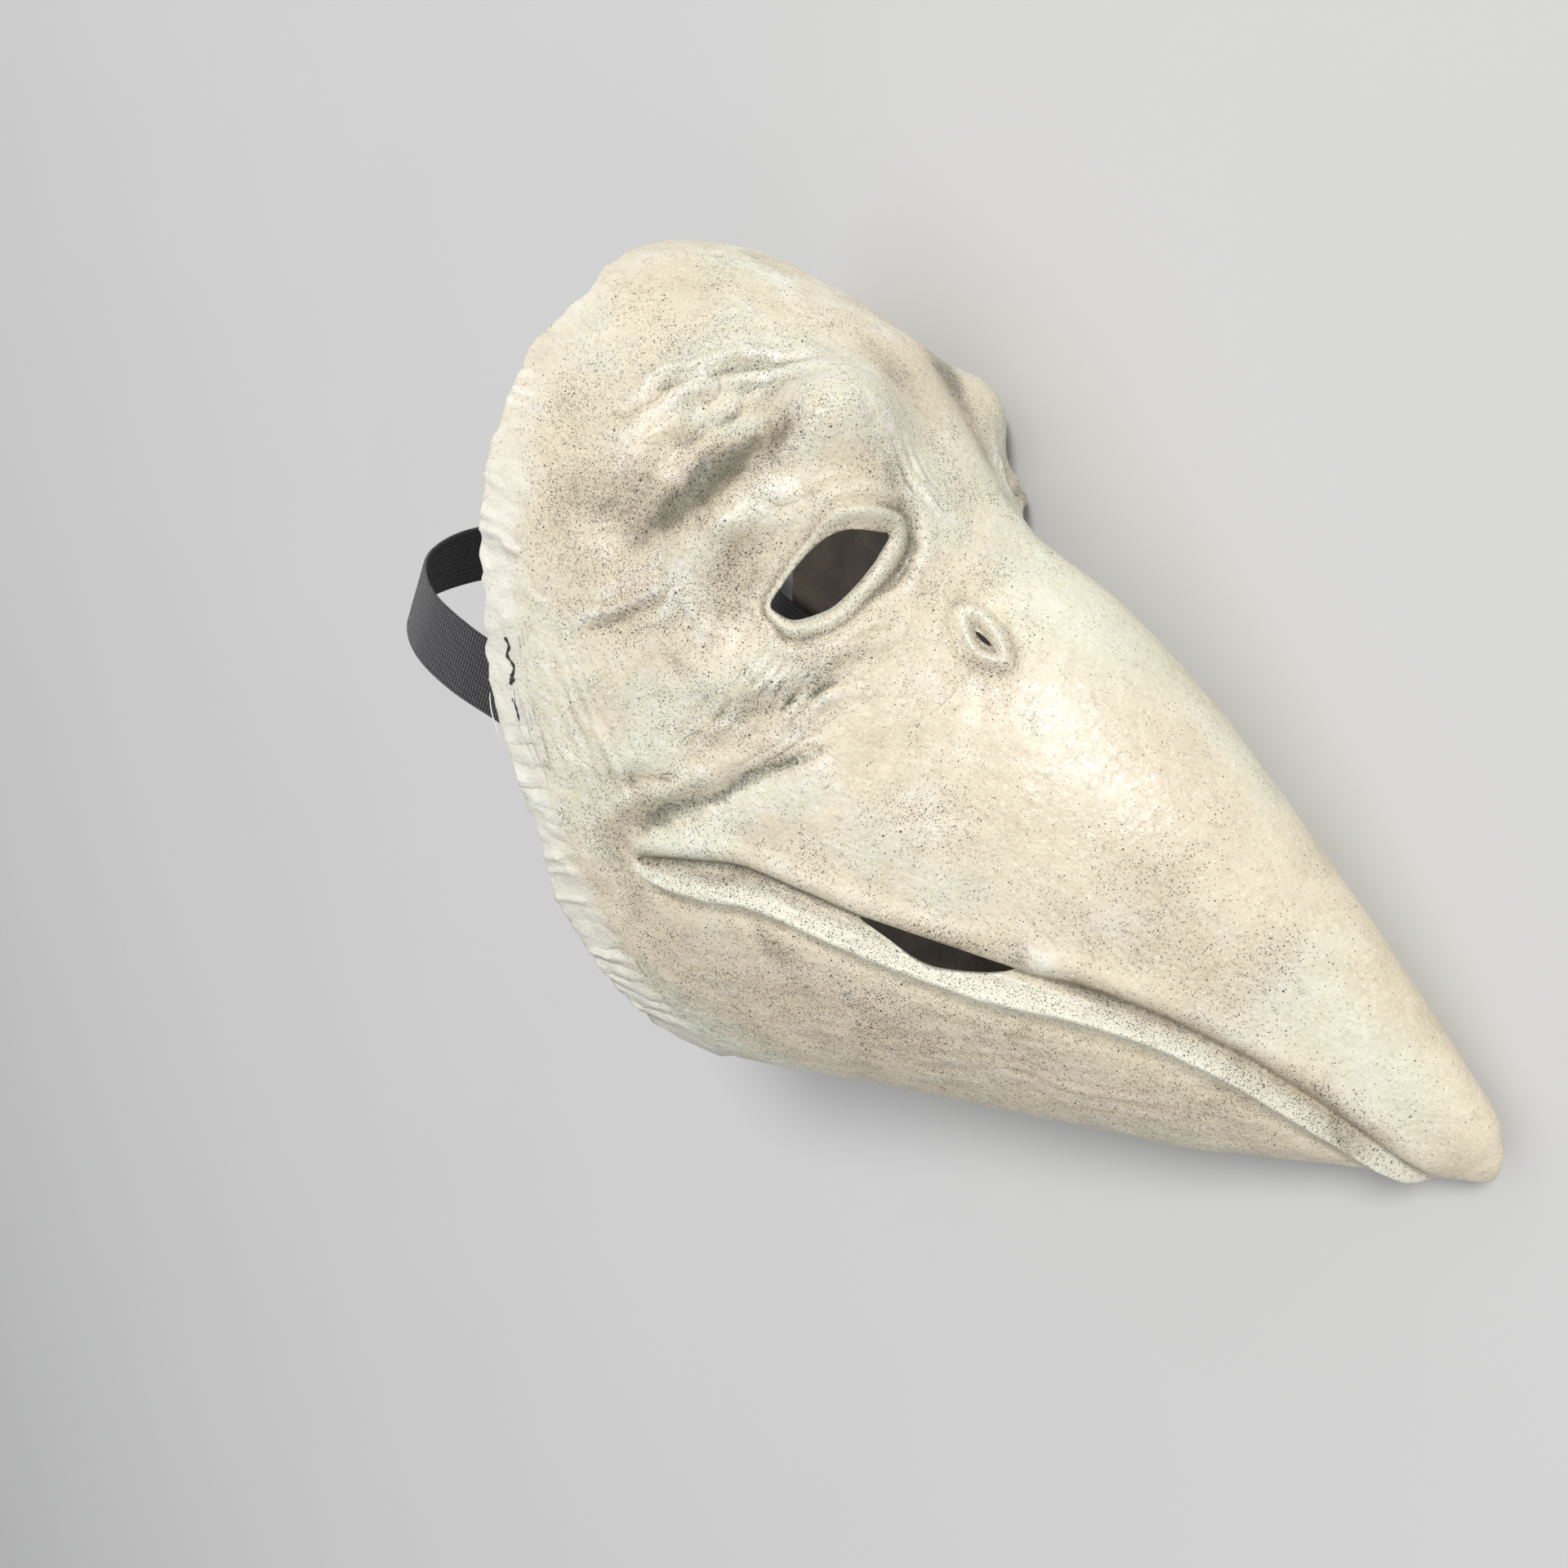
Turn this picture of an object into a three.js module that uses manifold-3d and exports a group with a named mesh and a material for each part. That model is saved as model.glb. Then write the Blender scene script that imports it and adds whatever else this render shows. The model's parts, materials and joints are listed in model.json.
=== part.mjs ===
// Bird beak mask: a hollow latex face with a long drooping beak and an elastic head strap.
// It lies on its left cheek. All lengths are millimetres.
import * as THREE from 'three'
import Module from 'manifold-3d'

const wasm = await Module()
wasm.setup()
const { Manifold, Mesh } = wasm

// Face frame: x forward, y to the wearer's left, z up, origin between the ears.
const WALL = 2.2
const WIDEST = 0.5
const MOUTH_T = 0.58
const CHORD_POWER = 1.25
const LAST = 14
const INNER_LAST = 12.4
const TIP = [278.2, 0, -85.2]
const RIM_BAND_END = 0.5
const RIM_FOLD = 0.9

// One station per row, from the open rim to the beak tip. Each holds the top point x z, the
// bottom point x z, the bow of the section in x, the half width, the height share of the widest
// point, the fullness above and below it, and the place of the mouth line on the section.
const STATIONS = [
  [22, 153, 69, -98.5, -35, 80, 0.40, 0.93, 0.78, 0.655],
  [44, 151, 80, -98.5, -27, 77, 0.42, 0.93, 0.79, 0.655],
  [66, 143, 93, -98, -18, 72, 0.45, 0.93, 0.80, 0.635],
  [88, 132, 106, -97.5, -10, 65, 0.50, 0.90, 0.80, 0.605],
  [107, 118, 120, -97, -3, 58, 0.56, 0.90, 0.80, 0.585],
  [124, 96, 134, -96.5, 0, 51, 0.60, 1.05, 0.80, 0.557],
  [142, 72, 148, -96, 0, 46, 0.62, 1.15, 0.80, 0.525],
  [167, 55, 166, -95.5, 0, 41, 0.64, 1.05, 0.80, 0.500],
  [194, 31, 185, -95, 0, 35.5, 0.63, 1.00, 0.80, 0.487],
  [217, 5, 203, -94.5, 0, 30, 0.61, 1.00, 0.80, 0.480],
  [238, -19.5, 222, -92.5, 0, 24, 0.58, 1.00, 0.80, 0.497],
  [257, -43, 240, -90.5, 0, 17, 0.55, 0.95, 0.80, 0.562],
  [270, -59.5, 256, -89.5, 0, 11.5, 0.52, 0.90, 0.80, 0.690],
  [277.5, -70.5, 267, -88, 0, 7, 0.50, 0.85, 0.85, 0.860],
  [279, -79.5, 273, -87.3, 0, 3.5, 0.50, 0.85, 0.90, 0.930],
]

// How far the open rim stands forward of its first station, by the place round the section,
// fading out over the first stations.
const RIM_SWEEP = [
  [0, 4], [0.16, 4.4], [0.235, -3.5], [0.32, -3.8], [0.37, -1.6], [0.45, 2.8],
  [0.56, 4], [0.66, -5], [0.74, -12], [0.84, -14], [1, -10],
]
const SWEEP_REACH = 1.8

// Swellings and hollows of the face: a path of x, distance from the middle, z; reach; height.
const BROW_BOSS = { path: [[103, 35, 100]], reach: 16, height: 13 }
const LID_BOSS = { path: [[115, 42, 76]], reach: 11, height: 7 }
const LID_FOLD = { path: [[108, 47, 78], [96, 53, 79], [84, 58, 74]], reach: 7, height: 3 }
const NOSE_VALLEY = { path: [[110, 14, 114], [124, 13, 94], [134, 12, 82]], reach: 8, height: -5 }
const EYE_HOLLOW = { path: [[118, 38, 60], [106, 48, 56], [90, 56, 52]], reach: 10, height: -4 }
const BROW_RIDGE = { path: [[98, 47, 97], [86, 56, 84], [76, 63, 68]], reach: 9, height: 3.5 }
const BROW_FURROW = {
  path: [[85, 45, 112], [76, 57, 100], [66, 67, 85], [60, 71, 72]],
  reach: 9,
  height: -5,
}
const EYE_BAG = {
  path: [[84, 61, 30], [97, 58, 34], [110, 51, 41], [120, 43, 48]],
  reach: 7,
  height: 2.5,
}
const CHEEK_CREASE = {
  path: [[113, 56, 24], [100, 62, 12], [84, 67, 0], [64, 71, -9], [50, 71, -21]],
  reach: 4.5,
  height: -3,
}
const FORMS = [
  BROW_BOSS, LID_BOSS, LID_FOLD, NOSE_VALLEY, EYE_HOLLOW,
  BROW_RIDGE, BROW_FURROW, EYE_BAG, CHEEK_CREASE,
]

// Relief across the mouth line: distance below the line, spread, height.
const MOUTH_RELIEF = [[-4, 4, 1.3], [1.2, 1.7, -3.2], [7, 2.6, 1.2], [13, 4, -0.8]]
const MOUTH_ROWS = [-7, -3.5, -1, 1.2, 3.4, 7, 10.5, 14.5]
const UPPER_ROWS = 15
const LOWER_ROWS = 6

// Openings: centre, outward direction on the right side, outline in the plane (along, up).
const EYE = {
  centre: [108, -47, 60],
  outward: [0.58, -0.81],
  outline: [
    [-15.5, -7.5], [-13, -10.2], [-9, -11.6], [-3, -10], [2.5, -7], [10, 0.5],
    [14.5, 7], [15.6, 10.5], [12.5, 11.8], [5, 12.7], [0.5, 12.2], [-7.5, 4], [-13.5, -3.4],
  ],
  depth: 13,
  height: 15,
}
const NOSTRIL = {
  centre: [145, -28.6, 44],
  outward: [0.45, -0.89],
  outline: [[-3.4, 2.4], [-2, 0.3], [0.8, -1.9], [3.4, -2.6], [2.2, -0.9], [-0.6, 1.5]],
  depth: 9,
  height: 8,
}
const SLIT = {
  centre: [143, -48, -38],
  outward: [0.28, -0.96],
  outline: [
    [-21, 6.5], [-12, 1.6], [-6, -2], [-0.3, -4.4], [8.4, -4.8], [16, -4.4],
    [21.2, -3.2], [16.5, -1.4], [6, 1.3], [-4.6, 3.7], [-12, 5.2],
  ],
  depth: 11,
  height: 9,
}
// Collars: how far outside the opening each step lies, and its height above the skin.
const LID_STEPS = [[-1, -1.3], [4.8, -1.3], [4.8, 0.2], [3.4, 1.7], [1.2, 1.9], [-1, 1]]
const LID_POINTS = 28
const WING_STEPS = [
  [2.4, 0.8, -1.1], [10.8, 5.2, -1.1], [10.8, 5.2, 0.1], [9.4, 4.1, 1.5], [8, 2.9, 1.3], [6.4, 1.7, -0.7],
]
const WING_TILT = -0.7
const WING_POINTS = 20

function mix(a, b, k) {
  return a + (b - a) * k
}

function catmull(table, u) {
  const n = table.length - 1
  const i = Math.min(Math.max(Math.floor(u), 0), n - 1)
  const f = u - i
  const p0 = table[Math.max(i - 1, 0)]
  const p1 = table[i]
  const p2 = table[i + 1]
  const p3 = table[Math.min(i + 2, n)]
  return p1.map((v, k) => 0.5 * (
    2 * v + (p2[k] - p0[k]) * f
    + (2 * p0[k] - 5 * v + 4 * p2[k] - p3[k]) * f * f
    + (3 * v - p0[k] - 3 * p2[k] + p3[k]) * f * f * f
  ))
}

function smooth(a, b, x) {
  const k = Math.min(Math.max((x - a) / (b - a), 0), 1)
  return k * k * (3 - 2 * k)
}

function rimSweep(u, t) {
  const next = Math.max(RIM_SWEEP.findIndex(([at]) => at >= t), 1)
  const [from, low] = RIM_SWEEP[next - 1]
  const [to, high] = RIM_SWEEP[next]
  return mix(low, high, smooth(from, to, t)) * Math.max(1 - u / SWEEP_REACH, 0) ** 2
}

// Plain section surface on the right side; t runs 0 at the top to 1 at the bottom.
function section(u, tIn) {
  const [tx, tz, bx, bz, bow, half, wide, over, under, mouth] = catmull(STATIONS, u)
  const t = tIn < MOUTH_T
    ? tIn * mouth / MOUTH_T
    : mix(mouth, 1, (tIn - MOUTH_T) / (1 - MOUTH_T))
  const upper = t <= WIDEST
  const turn = (upper ? t / WIDEST : (1 - t) / (1 - WIDEST)) * Math.PI / 2
  const rise = 1 - Math.cos(turn)
  const s = upper ? wide * rise : 1 - (1 - wide) * rise
  const y = half * Math.sin(turn) ** (upper ? over : under)
  const bowAt = bow * Math.sin(Math.PI * Math.max(s, 0) ** CHORD_POWER)
  const x = mix(tx, bx, s) + bowAt + rimSweep(u, tIn)
  return new THREE.Vector3(x, -y, mix(tz, bz, s))
}

function outward(u, t) {
  const e = 0.001
  const du = section(Math.min(u + e, LAST), t).sub(section(Math.max(u - e, 0), t))
  const dt = section(u, Math.min(t + e, 1)).sub(section(u, Math.max(t - e, 0)))
  const n = dt.cross(du).normalize()
  if (t < e || t > 1 - e) {
    n.y = 0
    n.normalize()
  }
  return n
}

function pathDistance(p, path) {
  const q = new THREE.Vector3(p.x, Math.abs(p.y), p.z)
  const pts = path.map((c) => new THREE.Vector3(...c))
  if (pts.length === 1) {
    return q.distanceTo(pts[0])
  }
  let best = Infinity
  for (let i = 0; i + 1 < pts.length; i += 1) {
    const piece = new THREE.Line3(pts[i], pts[i + 1])
    const near = piece.closestPointToPoint(q, true, new THREE.Vector3())
    best = Math.min(best, near.distanceTo(q))
  }
  return best
}

function mouthRelief(u, t, p) {
  const line = section(u, MOUTH_T)
  const d = p.distanceTo(line) * Math.sign(t - MOUTH_T)
  const fade = smooth(1.5, 2, u) * (1 - smooth(12.2, 13, u))
  const waves = MOUTH_RELIEF.map(([at, spread, h]) => h * Math.exp(-(((d - at) / spread) ** 2)))
  return fade * waves.reduce((sum, h) => sum + h, 0)
}

// Finished skin: depth 0 is the outer face, WALL the inner face.
function skin(u, t, depth) {
  const p = section(u, t)
  const n = outward(u, t)
  let h = mouthRelief(u, t, p)
  for (const form of FORMS) {
    h += form.height * Math.exp(-((pathDistance(p, form.path) / form.reach) ** 2))
  }
  if (depth === 0) {
    h += RIM_FOLD * (1 - smooth(RIM_BAND_END - 0.12, RIM_BAND_END, u))
  }
  return p.addScaledVector(n, h - depth)
}

// Rows of a section, closer together across the mouth.
function rowsAt(u, coarse) {
  const e = 0.01
  const mouth = section(u, MOUTH_T)
  const up = mouth.distanceTo(section(u, MOUTH_T - e)) / e
  const down = mouth.distanceTo(section(u, MOUTH_T + e)) / e
  const squeeze = Math.min(1, up * MOUTH_T / 40, down * (1 - MOUTH_T) / 32)
  const middle = MOUTH_ROWS.map((d) => MOUTH_T + squeeze * d / (d < 0 ? up : down))
  const rows = []
  for (let i = 0; i < UPPER_ROWS; i += 1) {
    rows.push(middle[0] * i / UPPER_ROWS)
  }
  rows.push(...middle)
  const last = middle[middle.length - 1]
  for (let i = 1; i <= LOWER_ROWS; i += 1) {
    rows.push(mix(last, 1, i / LOWER_ROWS))
  }
  return coarse ? rows.filter((row, i) => i % 2 === 0) : rows
}

// Closed ring of a section: down the right side, then up the left side.
function ring(u, depth, coarse) {
  const right = rowsAt(u, coarse).map((t) => skin(u, t, depth))
  const left = right.slice(1, -1).reverse().map((p) => new THREE.Vector3(p.x, -p.y, p.z))
  return [...right, ...left]
}

function stationRows(first, last, steps) {
  return Array.from({ length: steps + 1 }, (unused, i) => mix(first, last, i / steps))
}

function addRing(mesh, points) {
  const start = mesh.points.length
  mesh.points.push(...points)
  return points.map((p, i) => start + i)
}

function joinRings(mesh, a, b, flip) {
  const n = a.length
  for (let i = 0; i < n; i += 1) {
    const j = (i + 1) % n
    addFace(mesh, a[i], b[i], b[j], flip)
    addFace(mesh, a[i], b[j], a[j], flip)
  }
}

function addFace(mesh, a, b, c, flip) {
  mesh.faces.push(...(flip ? [a, c, b] : [a, b, c]))
}

function closeFan(mesh, ringIds, centre, flip) {
  const c = mesh.points.push(centre) - 1
  ringIds.forEach((id, i) => addFace(mesh, id, c, ringIds[(i + 1) % ringIds.length], flip))
}

// The rim joins a fine outer ring to an inner ring with half as many points.
function joinRim(mesh, fine, coarse) {
  coarse.forEach((id, i) => {
    const next = coarse[(i + 1) % coarse.length]
    const a = fine[2 * i]
    const b = fine[(2 * i + 1) % fine.length]
    const c = fine[(2 * i + 2) % fine.length]
    addFace(mesh, a, b, id, false)
    addFace(mesh, b, next, id, false)
    addFace(mesh, b, c, next, false)
  })
}

// Volume by summed wedges, negative when the faces look inward.
function signedVolume(mesh) {
  let sum = 0
  for (let i = 0; i < mesh.faces.length; i += 3) {
    const [a, b, c] = mesh.faces.slice(i, i + 3).map((id) => mesh.points[id])
    sum += a.dot(b.clone().cross(c)) / 6
  }
  return sum
}

function toSolid(mesh) {
  const vertProperties = new Float32Array(mesh.points.flatMap((p) => [p.x, p.y, p.z]))
  const faces = signedVolume(mesh) < 0 ? mesh.faces.toReversed() : mesh.faces
  return new Manifold(new Mesh({ numProp: 3, vertProperties, triVerts: new Uint32Array(faces) }))
}

function castShell() {
  const mesh = { points: [], faces: [] }
  const outerU = [0, 0.2, 0.38, 0.5, ...stationRows(0.72, LAST, 42)]
  const innerU = [0, ...stationRows(0.6, INNER_LAST, 20)]
  const outer = outerU.map((u) => addRing(mesh, ring(u, 0, false)))
  const inner = innerU.map((u) => addRing(mesh, ring(u, WALL, true)))
  for (let i = 0; i + 1 < outer.length; i += 1) {
    joinRings(mesh, outer[i], outer[i + 1], false)
  }
  for (let i = 0; i + 1 < inner.length; i += 1) {
    joinRings(mesh, inner[i], inner[i + 1], true)
  }
  closeFan(mesh, outer[outer.length - 1], new THREE.Vector3(...TIP), false)
  closeFan(mesh, inner[inner.length - 1], middleOf(mesh, inner[inner.length - 1]), true)
  joinRim(mesh, outer[0], inner[0])
  return toSolid(mesh)
}

// Plane of an opening on the right side, or on the left with mirror -1.
function plane(opening, mirror) {
  const [ox, oy] = opening.outward
  const n = new THREE.Vector3(ox, oy, 0).normalize()
  const along = new THREE.Vector3(-n.y, n.x, 0)
  const up = new THREE.Vector3(0, 0, 1)
  const centre = new THREE.Vector3(...opening.centre)
  for (const v of [n, along, centre]) {
    v.y *= mirror
  }
  return { n, along, up, centre, mirror }
}

function planePoint(frame, a, b, s) {
  return frame.centre.clone()
    .addScaledVector(frame.along, a)
    .addScaledVector(frame.up, b)
    .addScaledVector(frame.n, s)
}

function cutter(opening, mirror) {
  const frame = plane(opening, mirror)
  const mesh = { points: [], faces: [] }
  const level = (s) => addRing(mesh, opening.outline.map(([a, b]) => planePoint(frame, a, b, s)))
  const low = level(-opening.depth)
  const high = level(opening.height)
  joinRings(mesh, high, low, false)
  closeFan(mesh, high, planePoint(frame, 0, 0, opening.height), true)
  closeFan(mesh, low, planePoint(frame, 0, 0, -opening.depth), false)
  return toSolid(mesh)
}

// A raised collar on the skin: stacked outlines, each with its height above the skin.
function collar(frame, levels) {
  const mesh = { points: [], faces: [] }
  const rings = levels.map(({ outline, height }) => {
    const seats = outline.map(([a, b]) => onSkin(frame, a, b).addScaledVector(frame.n, height))
    return addRing(mesh, seats)
  })
  for (let i = 0; i + 1 < rings.length; i += 1) {
    joinRings(mesh, rings[i], rings[i + 1], false)
  }
  closeFan(mesh, rings[rings.length - 1], middleOf(mesh, rings[rings.length - 1]), false)
  closeFan(mesh, rings[0], middleOf(mesh, rings[0]), true)
  return toSolid(mesh)
}

function middleOf(mesh, ids) {
  const sum = new THREE.Vector3()
  ids.forEach((id) => sum.add(mesh.points[id]))
  return sum.divideScalar(ids.length)
}

const SEAM = 0.03
const SEAT_REACH = 22
const SEATS = stationRows(2.2, 7.6, 150).flatMap((u) => (
  stationRows(0.18, 0.5, 150).map((t) => ({ u, t, p: section(u, t) }))
))

function onSkin(frame, a, b) {
  const target = planePoint(frame, a, b, 0)
  let best = null
  let least = Infinity
  for (const seat of SEATS) {
    if (Math.abs(seat.p.x - target.x) > SEAT_REACH || Math.abs(seat.p.z - target.z) > SEAT_REACH) {
      continue
    }
    seat.skin = seat.skin || skin(seat.u, seat.t, 0)
    const p = seat.skin.clone()
    p.y *= frame.mirror
    const off = p.clone().sub(target)
    off.addScaledVector(frame.n, -off.dot(frame.n))
    if (off.lengthSq() < least) {
      least = off.lengthSq()
      best = p
    }
  }
  return best
}

// Even points around a closed outline, moved outward by a distance.
function widened(outline, distance, count) {
  const corners = outline.map(([a, b]) => new THREE.Vector3(a, b, 0))
  const curve = new THREE.CatmullRomCurve3(corners, true, 'catmullrom', 0.5)
  return curve.getSpacedPoints(count).slice(0, count).map((p, i) => {
    const tangent = curve.getTangentAt(i / count)
    return [p.x + tangent.y * distance, p.y - tangent.x * distance]
  })
}

function ellipse(long, short, tilt, count) {
  return Array.from({ length: count }, (unused, i) => {
    const turn = 2 * Math.PI * i / count
    const a = long * Math.cos(turn)
    const b = short * Math.sin(turn)
    return [a * Math.cos(tilt) - b * Math.sin(tilt), a * Math.sin(tilt) + b * Math.cos(tilt)]
  })
}

// Drops the specks that a join can leave between two nearly touching faces.
function largestBody(solid) {
  return solid.decompose().reduce((a, b) => (a.volume() > b.volume() ? a : b))
}

function maskSolid() {
  let solid = castShell()
  const lid = LID_STEPS.map(([spread, height]) => (
    { outline: widened(EYE.outline, spread, LID_POINTS), height }
  ))
  const wing = WING_STEPS.map(([long, short, height]) => (
    { outline: ellipse(long, short, WING_TILT, WING_POINTS), height }
  ))
  for (const mirror of [1, -1]) {
    solid = solid.add(collar(plane(EYE, mirror), lid))
    solid = solid.add(collar(plane(NOSTRIL, mirror), wing))
  }
  for (const mirror of [1, -1]) {
    for (const opening of [EYE, NOSTRIL, SLIT]) {
      solid = solid.subtract(cutter(opening, mirror))
    }
  }
  return largestBody(solid.simplify(SEAM))
}

function node(name, solid, colour, roughness) {
  const { vertProperties, triVerts } = solid.getMesh()
  const geometry = new THREE.BufferGeometry()
  geometry.setAttribute('position', new THREE.BufferAttribute(new Float32Array(vertProperties), 3))
  geometry.setIndex(new THREE.BufferAttribute(new Uint32Array(triVerts), 1))
  geometry.computeVertexNormals()
  const material = new THREE.MeshStandardMaterial({ color: colour, roughness })
  const mesh = new THREE.Mesh(geometry, material)
  mesh.name = name
  return mesh
}

// Strap: a flat woven band sewn inside both temples. Its loop runs in the plane through the
// ears that rises toward the back. Each stop is millimetres behind the rim and across the face.
const STRAP = { width: 22, thick: 1.4, rise: 25, seat: [14, 25], steps: 44 }
const STRAP_STOPS = [
  [-14, -71.4], [0, -73.6], [18, -75], [38, -71], [56, -58], [68, -38], [74, -14],
  [75, 12], [73, 38], [68, 62], [59, 83.5], [47, 97.6], [34, 95.8], [21, 85], [9, 75.5], [0, 73.4], [-14, 71.4],
]

function strapBand() {
  const rise = THREE.MathUtils.degToRad(STRAP.rise)
  const back = new THREE.Vector3(-Math.cos(rise), 0, Math.sin(rise))
  const side = new THREE.Vector3(Math.sin(rise), 0, Math.cos(rise))
  const seat = new THREE.Vector3(STRAP.seat[0], 0, STRAP.seat[1])
  const stops = STRAP_STOPS.map(([b, across]) => (
    seat.clone().addScaledVector(back, b).add(new THREE.Vector3(0, across, 0))
  ))
  const route = new THREE.CatmullRomCurve3(stops, false, 'centripetal')
  const mesh = { points: [], faces: [] }
  const corners = [[1, 1], [1, -1], [-1, -1], [-1, 1]]
  const rings = stationRows(0, 1, STRAP.steps).map((k) => {
    const hub = route.getPointAt(k)
    const face = route.getTangentAt(k).cross(side).normalize()
    return addRing(mesh, corners.map(([a, b]) => (
      hub.clone()
        .addScaledVector(side, a * STRAP.width / 2)
        .addScaledVector(face, b * STRAP.thick / 2)
    )))
  })
  for (let i = 0; i + 1 < rings.length; i += 1) {
    joinRings(mesh, rings[i], rings[i + 1], false)
  }
  closeFan(mesh, rings[rings.length - 1], middleOf(mesh, rings[rings.length - 1]), false)
  closeFan(mesh, rings[0], middleOf(mesh, rings[0]), true)
  return toSolid(mesh)
}

// Resting pose: the face direction that points up, the one the beak side turns to, and the
// floor point under the middle of the mask, all in the face frame.
const REST_UP = [-0.31, -0.949, -0.063]
const REST_HEADING = [0.9, 0, -0.43]
const REST_ORIGIN = [140.67, 51.17, -5.23]

function restMatrix() {
  const up = new THREE.Vector3(...REST_UP).normalize()
  const heading = new THREE.Vector3(...REST_HEADING)
  const x = heading.addScaledVector(up, -heading.dot(up)).normalize()
  const y = up.clone().cross(x)
  const turn = new THREE.Matrix4().makeBasis(x, y, up).transpose()
  const origin = new THREE.Vector3(...REST_ORIGIN).applyMatrix4(turn)
  return turn.setPosition(origin.negate())
}

const LATEX = 0xd9cfbb
const ELASTIC = 0x17171b
const group = new THREE.Group()
group.name = 'bird_beak_mask'
group.add(node('mask_shell', maskSolid(), LATEX, 0.55))
group.add(node('head_strap', strapBand(), ELASTIC, 0.9))
for (const mesh of group.children) {
  mesh.geometry.applyMatrix4(restMatrix())
}

export default group
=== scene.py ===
"""Bird beak mask in cast latex with a black elastic head strap, lying on its left cheek."""

import json
import math
import random

import bmesh
import bpy
import numpy as np
from mathutils import Matrix, Vector

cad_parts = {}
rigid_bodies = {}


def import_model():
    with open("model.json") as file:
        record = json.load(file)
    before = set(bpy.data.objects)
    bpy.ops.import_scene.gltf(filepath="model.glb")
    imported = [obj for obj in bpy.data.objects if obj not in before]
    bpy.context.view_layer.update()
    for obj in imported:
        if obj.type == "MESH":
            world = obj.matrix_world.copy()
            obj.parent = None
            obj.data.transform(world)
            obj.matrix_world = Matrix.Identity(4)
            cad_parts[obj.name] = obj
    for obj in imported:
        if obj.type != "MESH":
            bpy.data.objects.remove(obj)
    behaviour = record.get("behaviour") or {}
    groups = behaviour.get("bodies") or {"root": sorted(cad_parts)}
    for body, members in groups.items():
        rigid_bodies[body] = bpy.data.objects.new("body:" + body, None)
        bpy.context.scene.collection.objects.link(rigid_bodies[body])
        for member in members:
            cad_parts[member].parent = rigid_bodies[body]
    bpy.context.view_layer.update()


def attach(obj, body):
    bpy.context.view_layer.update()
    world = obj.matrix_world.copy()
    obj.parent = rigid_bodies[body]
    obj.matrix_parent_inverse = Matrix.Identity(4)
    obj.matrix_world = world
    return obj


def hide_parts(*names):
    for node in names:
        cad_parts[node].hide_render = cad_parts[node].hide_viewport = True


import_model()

MM = 0.001

FAR_AWAY = 1e9

# Frames

# Face frame in millimetres: x forward, y to the wearer's left, z up, y = 0 the middle plane.
REST_UP = (-0.31, -0.949, -0.063)
REST_HEADING = (0.9, 0.0, -0.43)
REST_ORIGIN = (140.67, 51.17, -5.23)


def unit(vectors):
    return vectors / np.linalg.norm(vectors, axis=-1, keepdims=True)


def rest_axes():
    up = unit(np.array(REST_UP))
    heading = np.array(REST_HEADING)
    x = unit(heading - up * (heading @ up))
    return np.array([x, np.cross(up, x), up])


REST_TURN = rest_axes()


def to_row(points):
    """Face frame millimetres to row frame metres."""
    return (np.asarray(points, float) - np.array(REST_ORIGIN)) @ REST_TURN.T * MM


def turn_to_row(direction):
    return REST_TURN @ np.asarray(direction, float)


# Camera

IMAGE_PX = 1920
FOCAL_PX = 1925
HORIZON_PX = 513
CAMERA_YAW = math.radians(56)
CAMERA_PLACE = (332.7, -401.4, 100.9)
SENSOR_MM = 36.0
NEAR_CLIP = 0.01


def add_camera():
    pitch = math.atan((IMAGE_PX / 2 - HORIZON_PX) / FOCAL_PX)
    sa, ca = math.sin(CAMERA_YAW), math.cos(CAMERA_YAW)
    sp, cp = math.sin(pitch), math.cos(pitch)
    right = turn_to_row((sa, ca, 0))
    up = turn_to_row((-ca * sp, sa * sp, cp))
    back = turn_to_row((ca * cp, -sa * cp, sp))
    data = bpy.data.cameras.new("camera")
    data.sensor_width = SENSOR_MM
    data.lens = SENSOR_MM * FOCAL_PX / IMAGE_PX
    data.clip_start = NEAR_CLIP
    camera = bpy.data.objects.new("camera", data)
    bpy.context.scene.collection.objects.link(camera)
    turn = Matrix([Vector(axis) for axis in (right, up, back)]).transposed()
    camera.matrix_world = Matrix.Translation(to_row(CAMERA_PLACE)) @ turn.to_4x4()
    bpy.context.scene.camera = camera


add_camera()


# Meshes, curves and noise

CURVE_STEPS = 40
OUTLINE_STEPS = 6
# Large numbers that mix a cell's three indices and the seed into one code.
MIXERS = (73856093, 19349663, 83492791)
SEED_MIXER = 2654435761


def add_mesh(name, points, faces, smooth=True):
    mesh = bpy.data.meshes.new(name)
    mesh.from_pydata([tuple(p) for p in points], [], [tuple(f) for f in faces])
    mesh.validate()
    mesh.update()
    if smooth:
        mesh.shade_smooth()
    obj = bpy.data.objects.new(name, mesh)
    bpy.context.scene.collection.objects.link(obj)
    return obj


def tube_faces(rings, n, flipped=False):
    """Side faces between rings of n points and the two ends, flipped if the rings turn back."""
    sides = []
    for i in range(rings - 1):
        for k in range(n):
            j = (k + 1) % n
            a, b, c, d = i * n + k, i * n + j, (i + 1) * n + j, (i + 1) * n + k
            sides.append((a, d, c, b) if flipped else (a, b, c, d))
    near, far = tuple(range(n)), tuple((rings - 1) * n + k for k in range(n))
    return sides, [near, far[::-1]] if flipped else [near[::-1], far]


def loop_points(obj):
    """For each face corner of an object's mesh, the point it stands on."""
    corner = np.zeros(len(obj.data.loops), np.int32)
    obj.data.loops.foreach_get("vertex_index", corner)
    return corner


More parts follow.
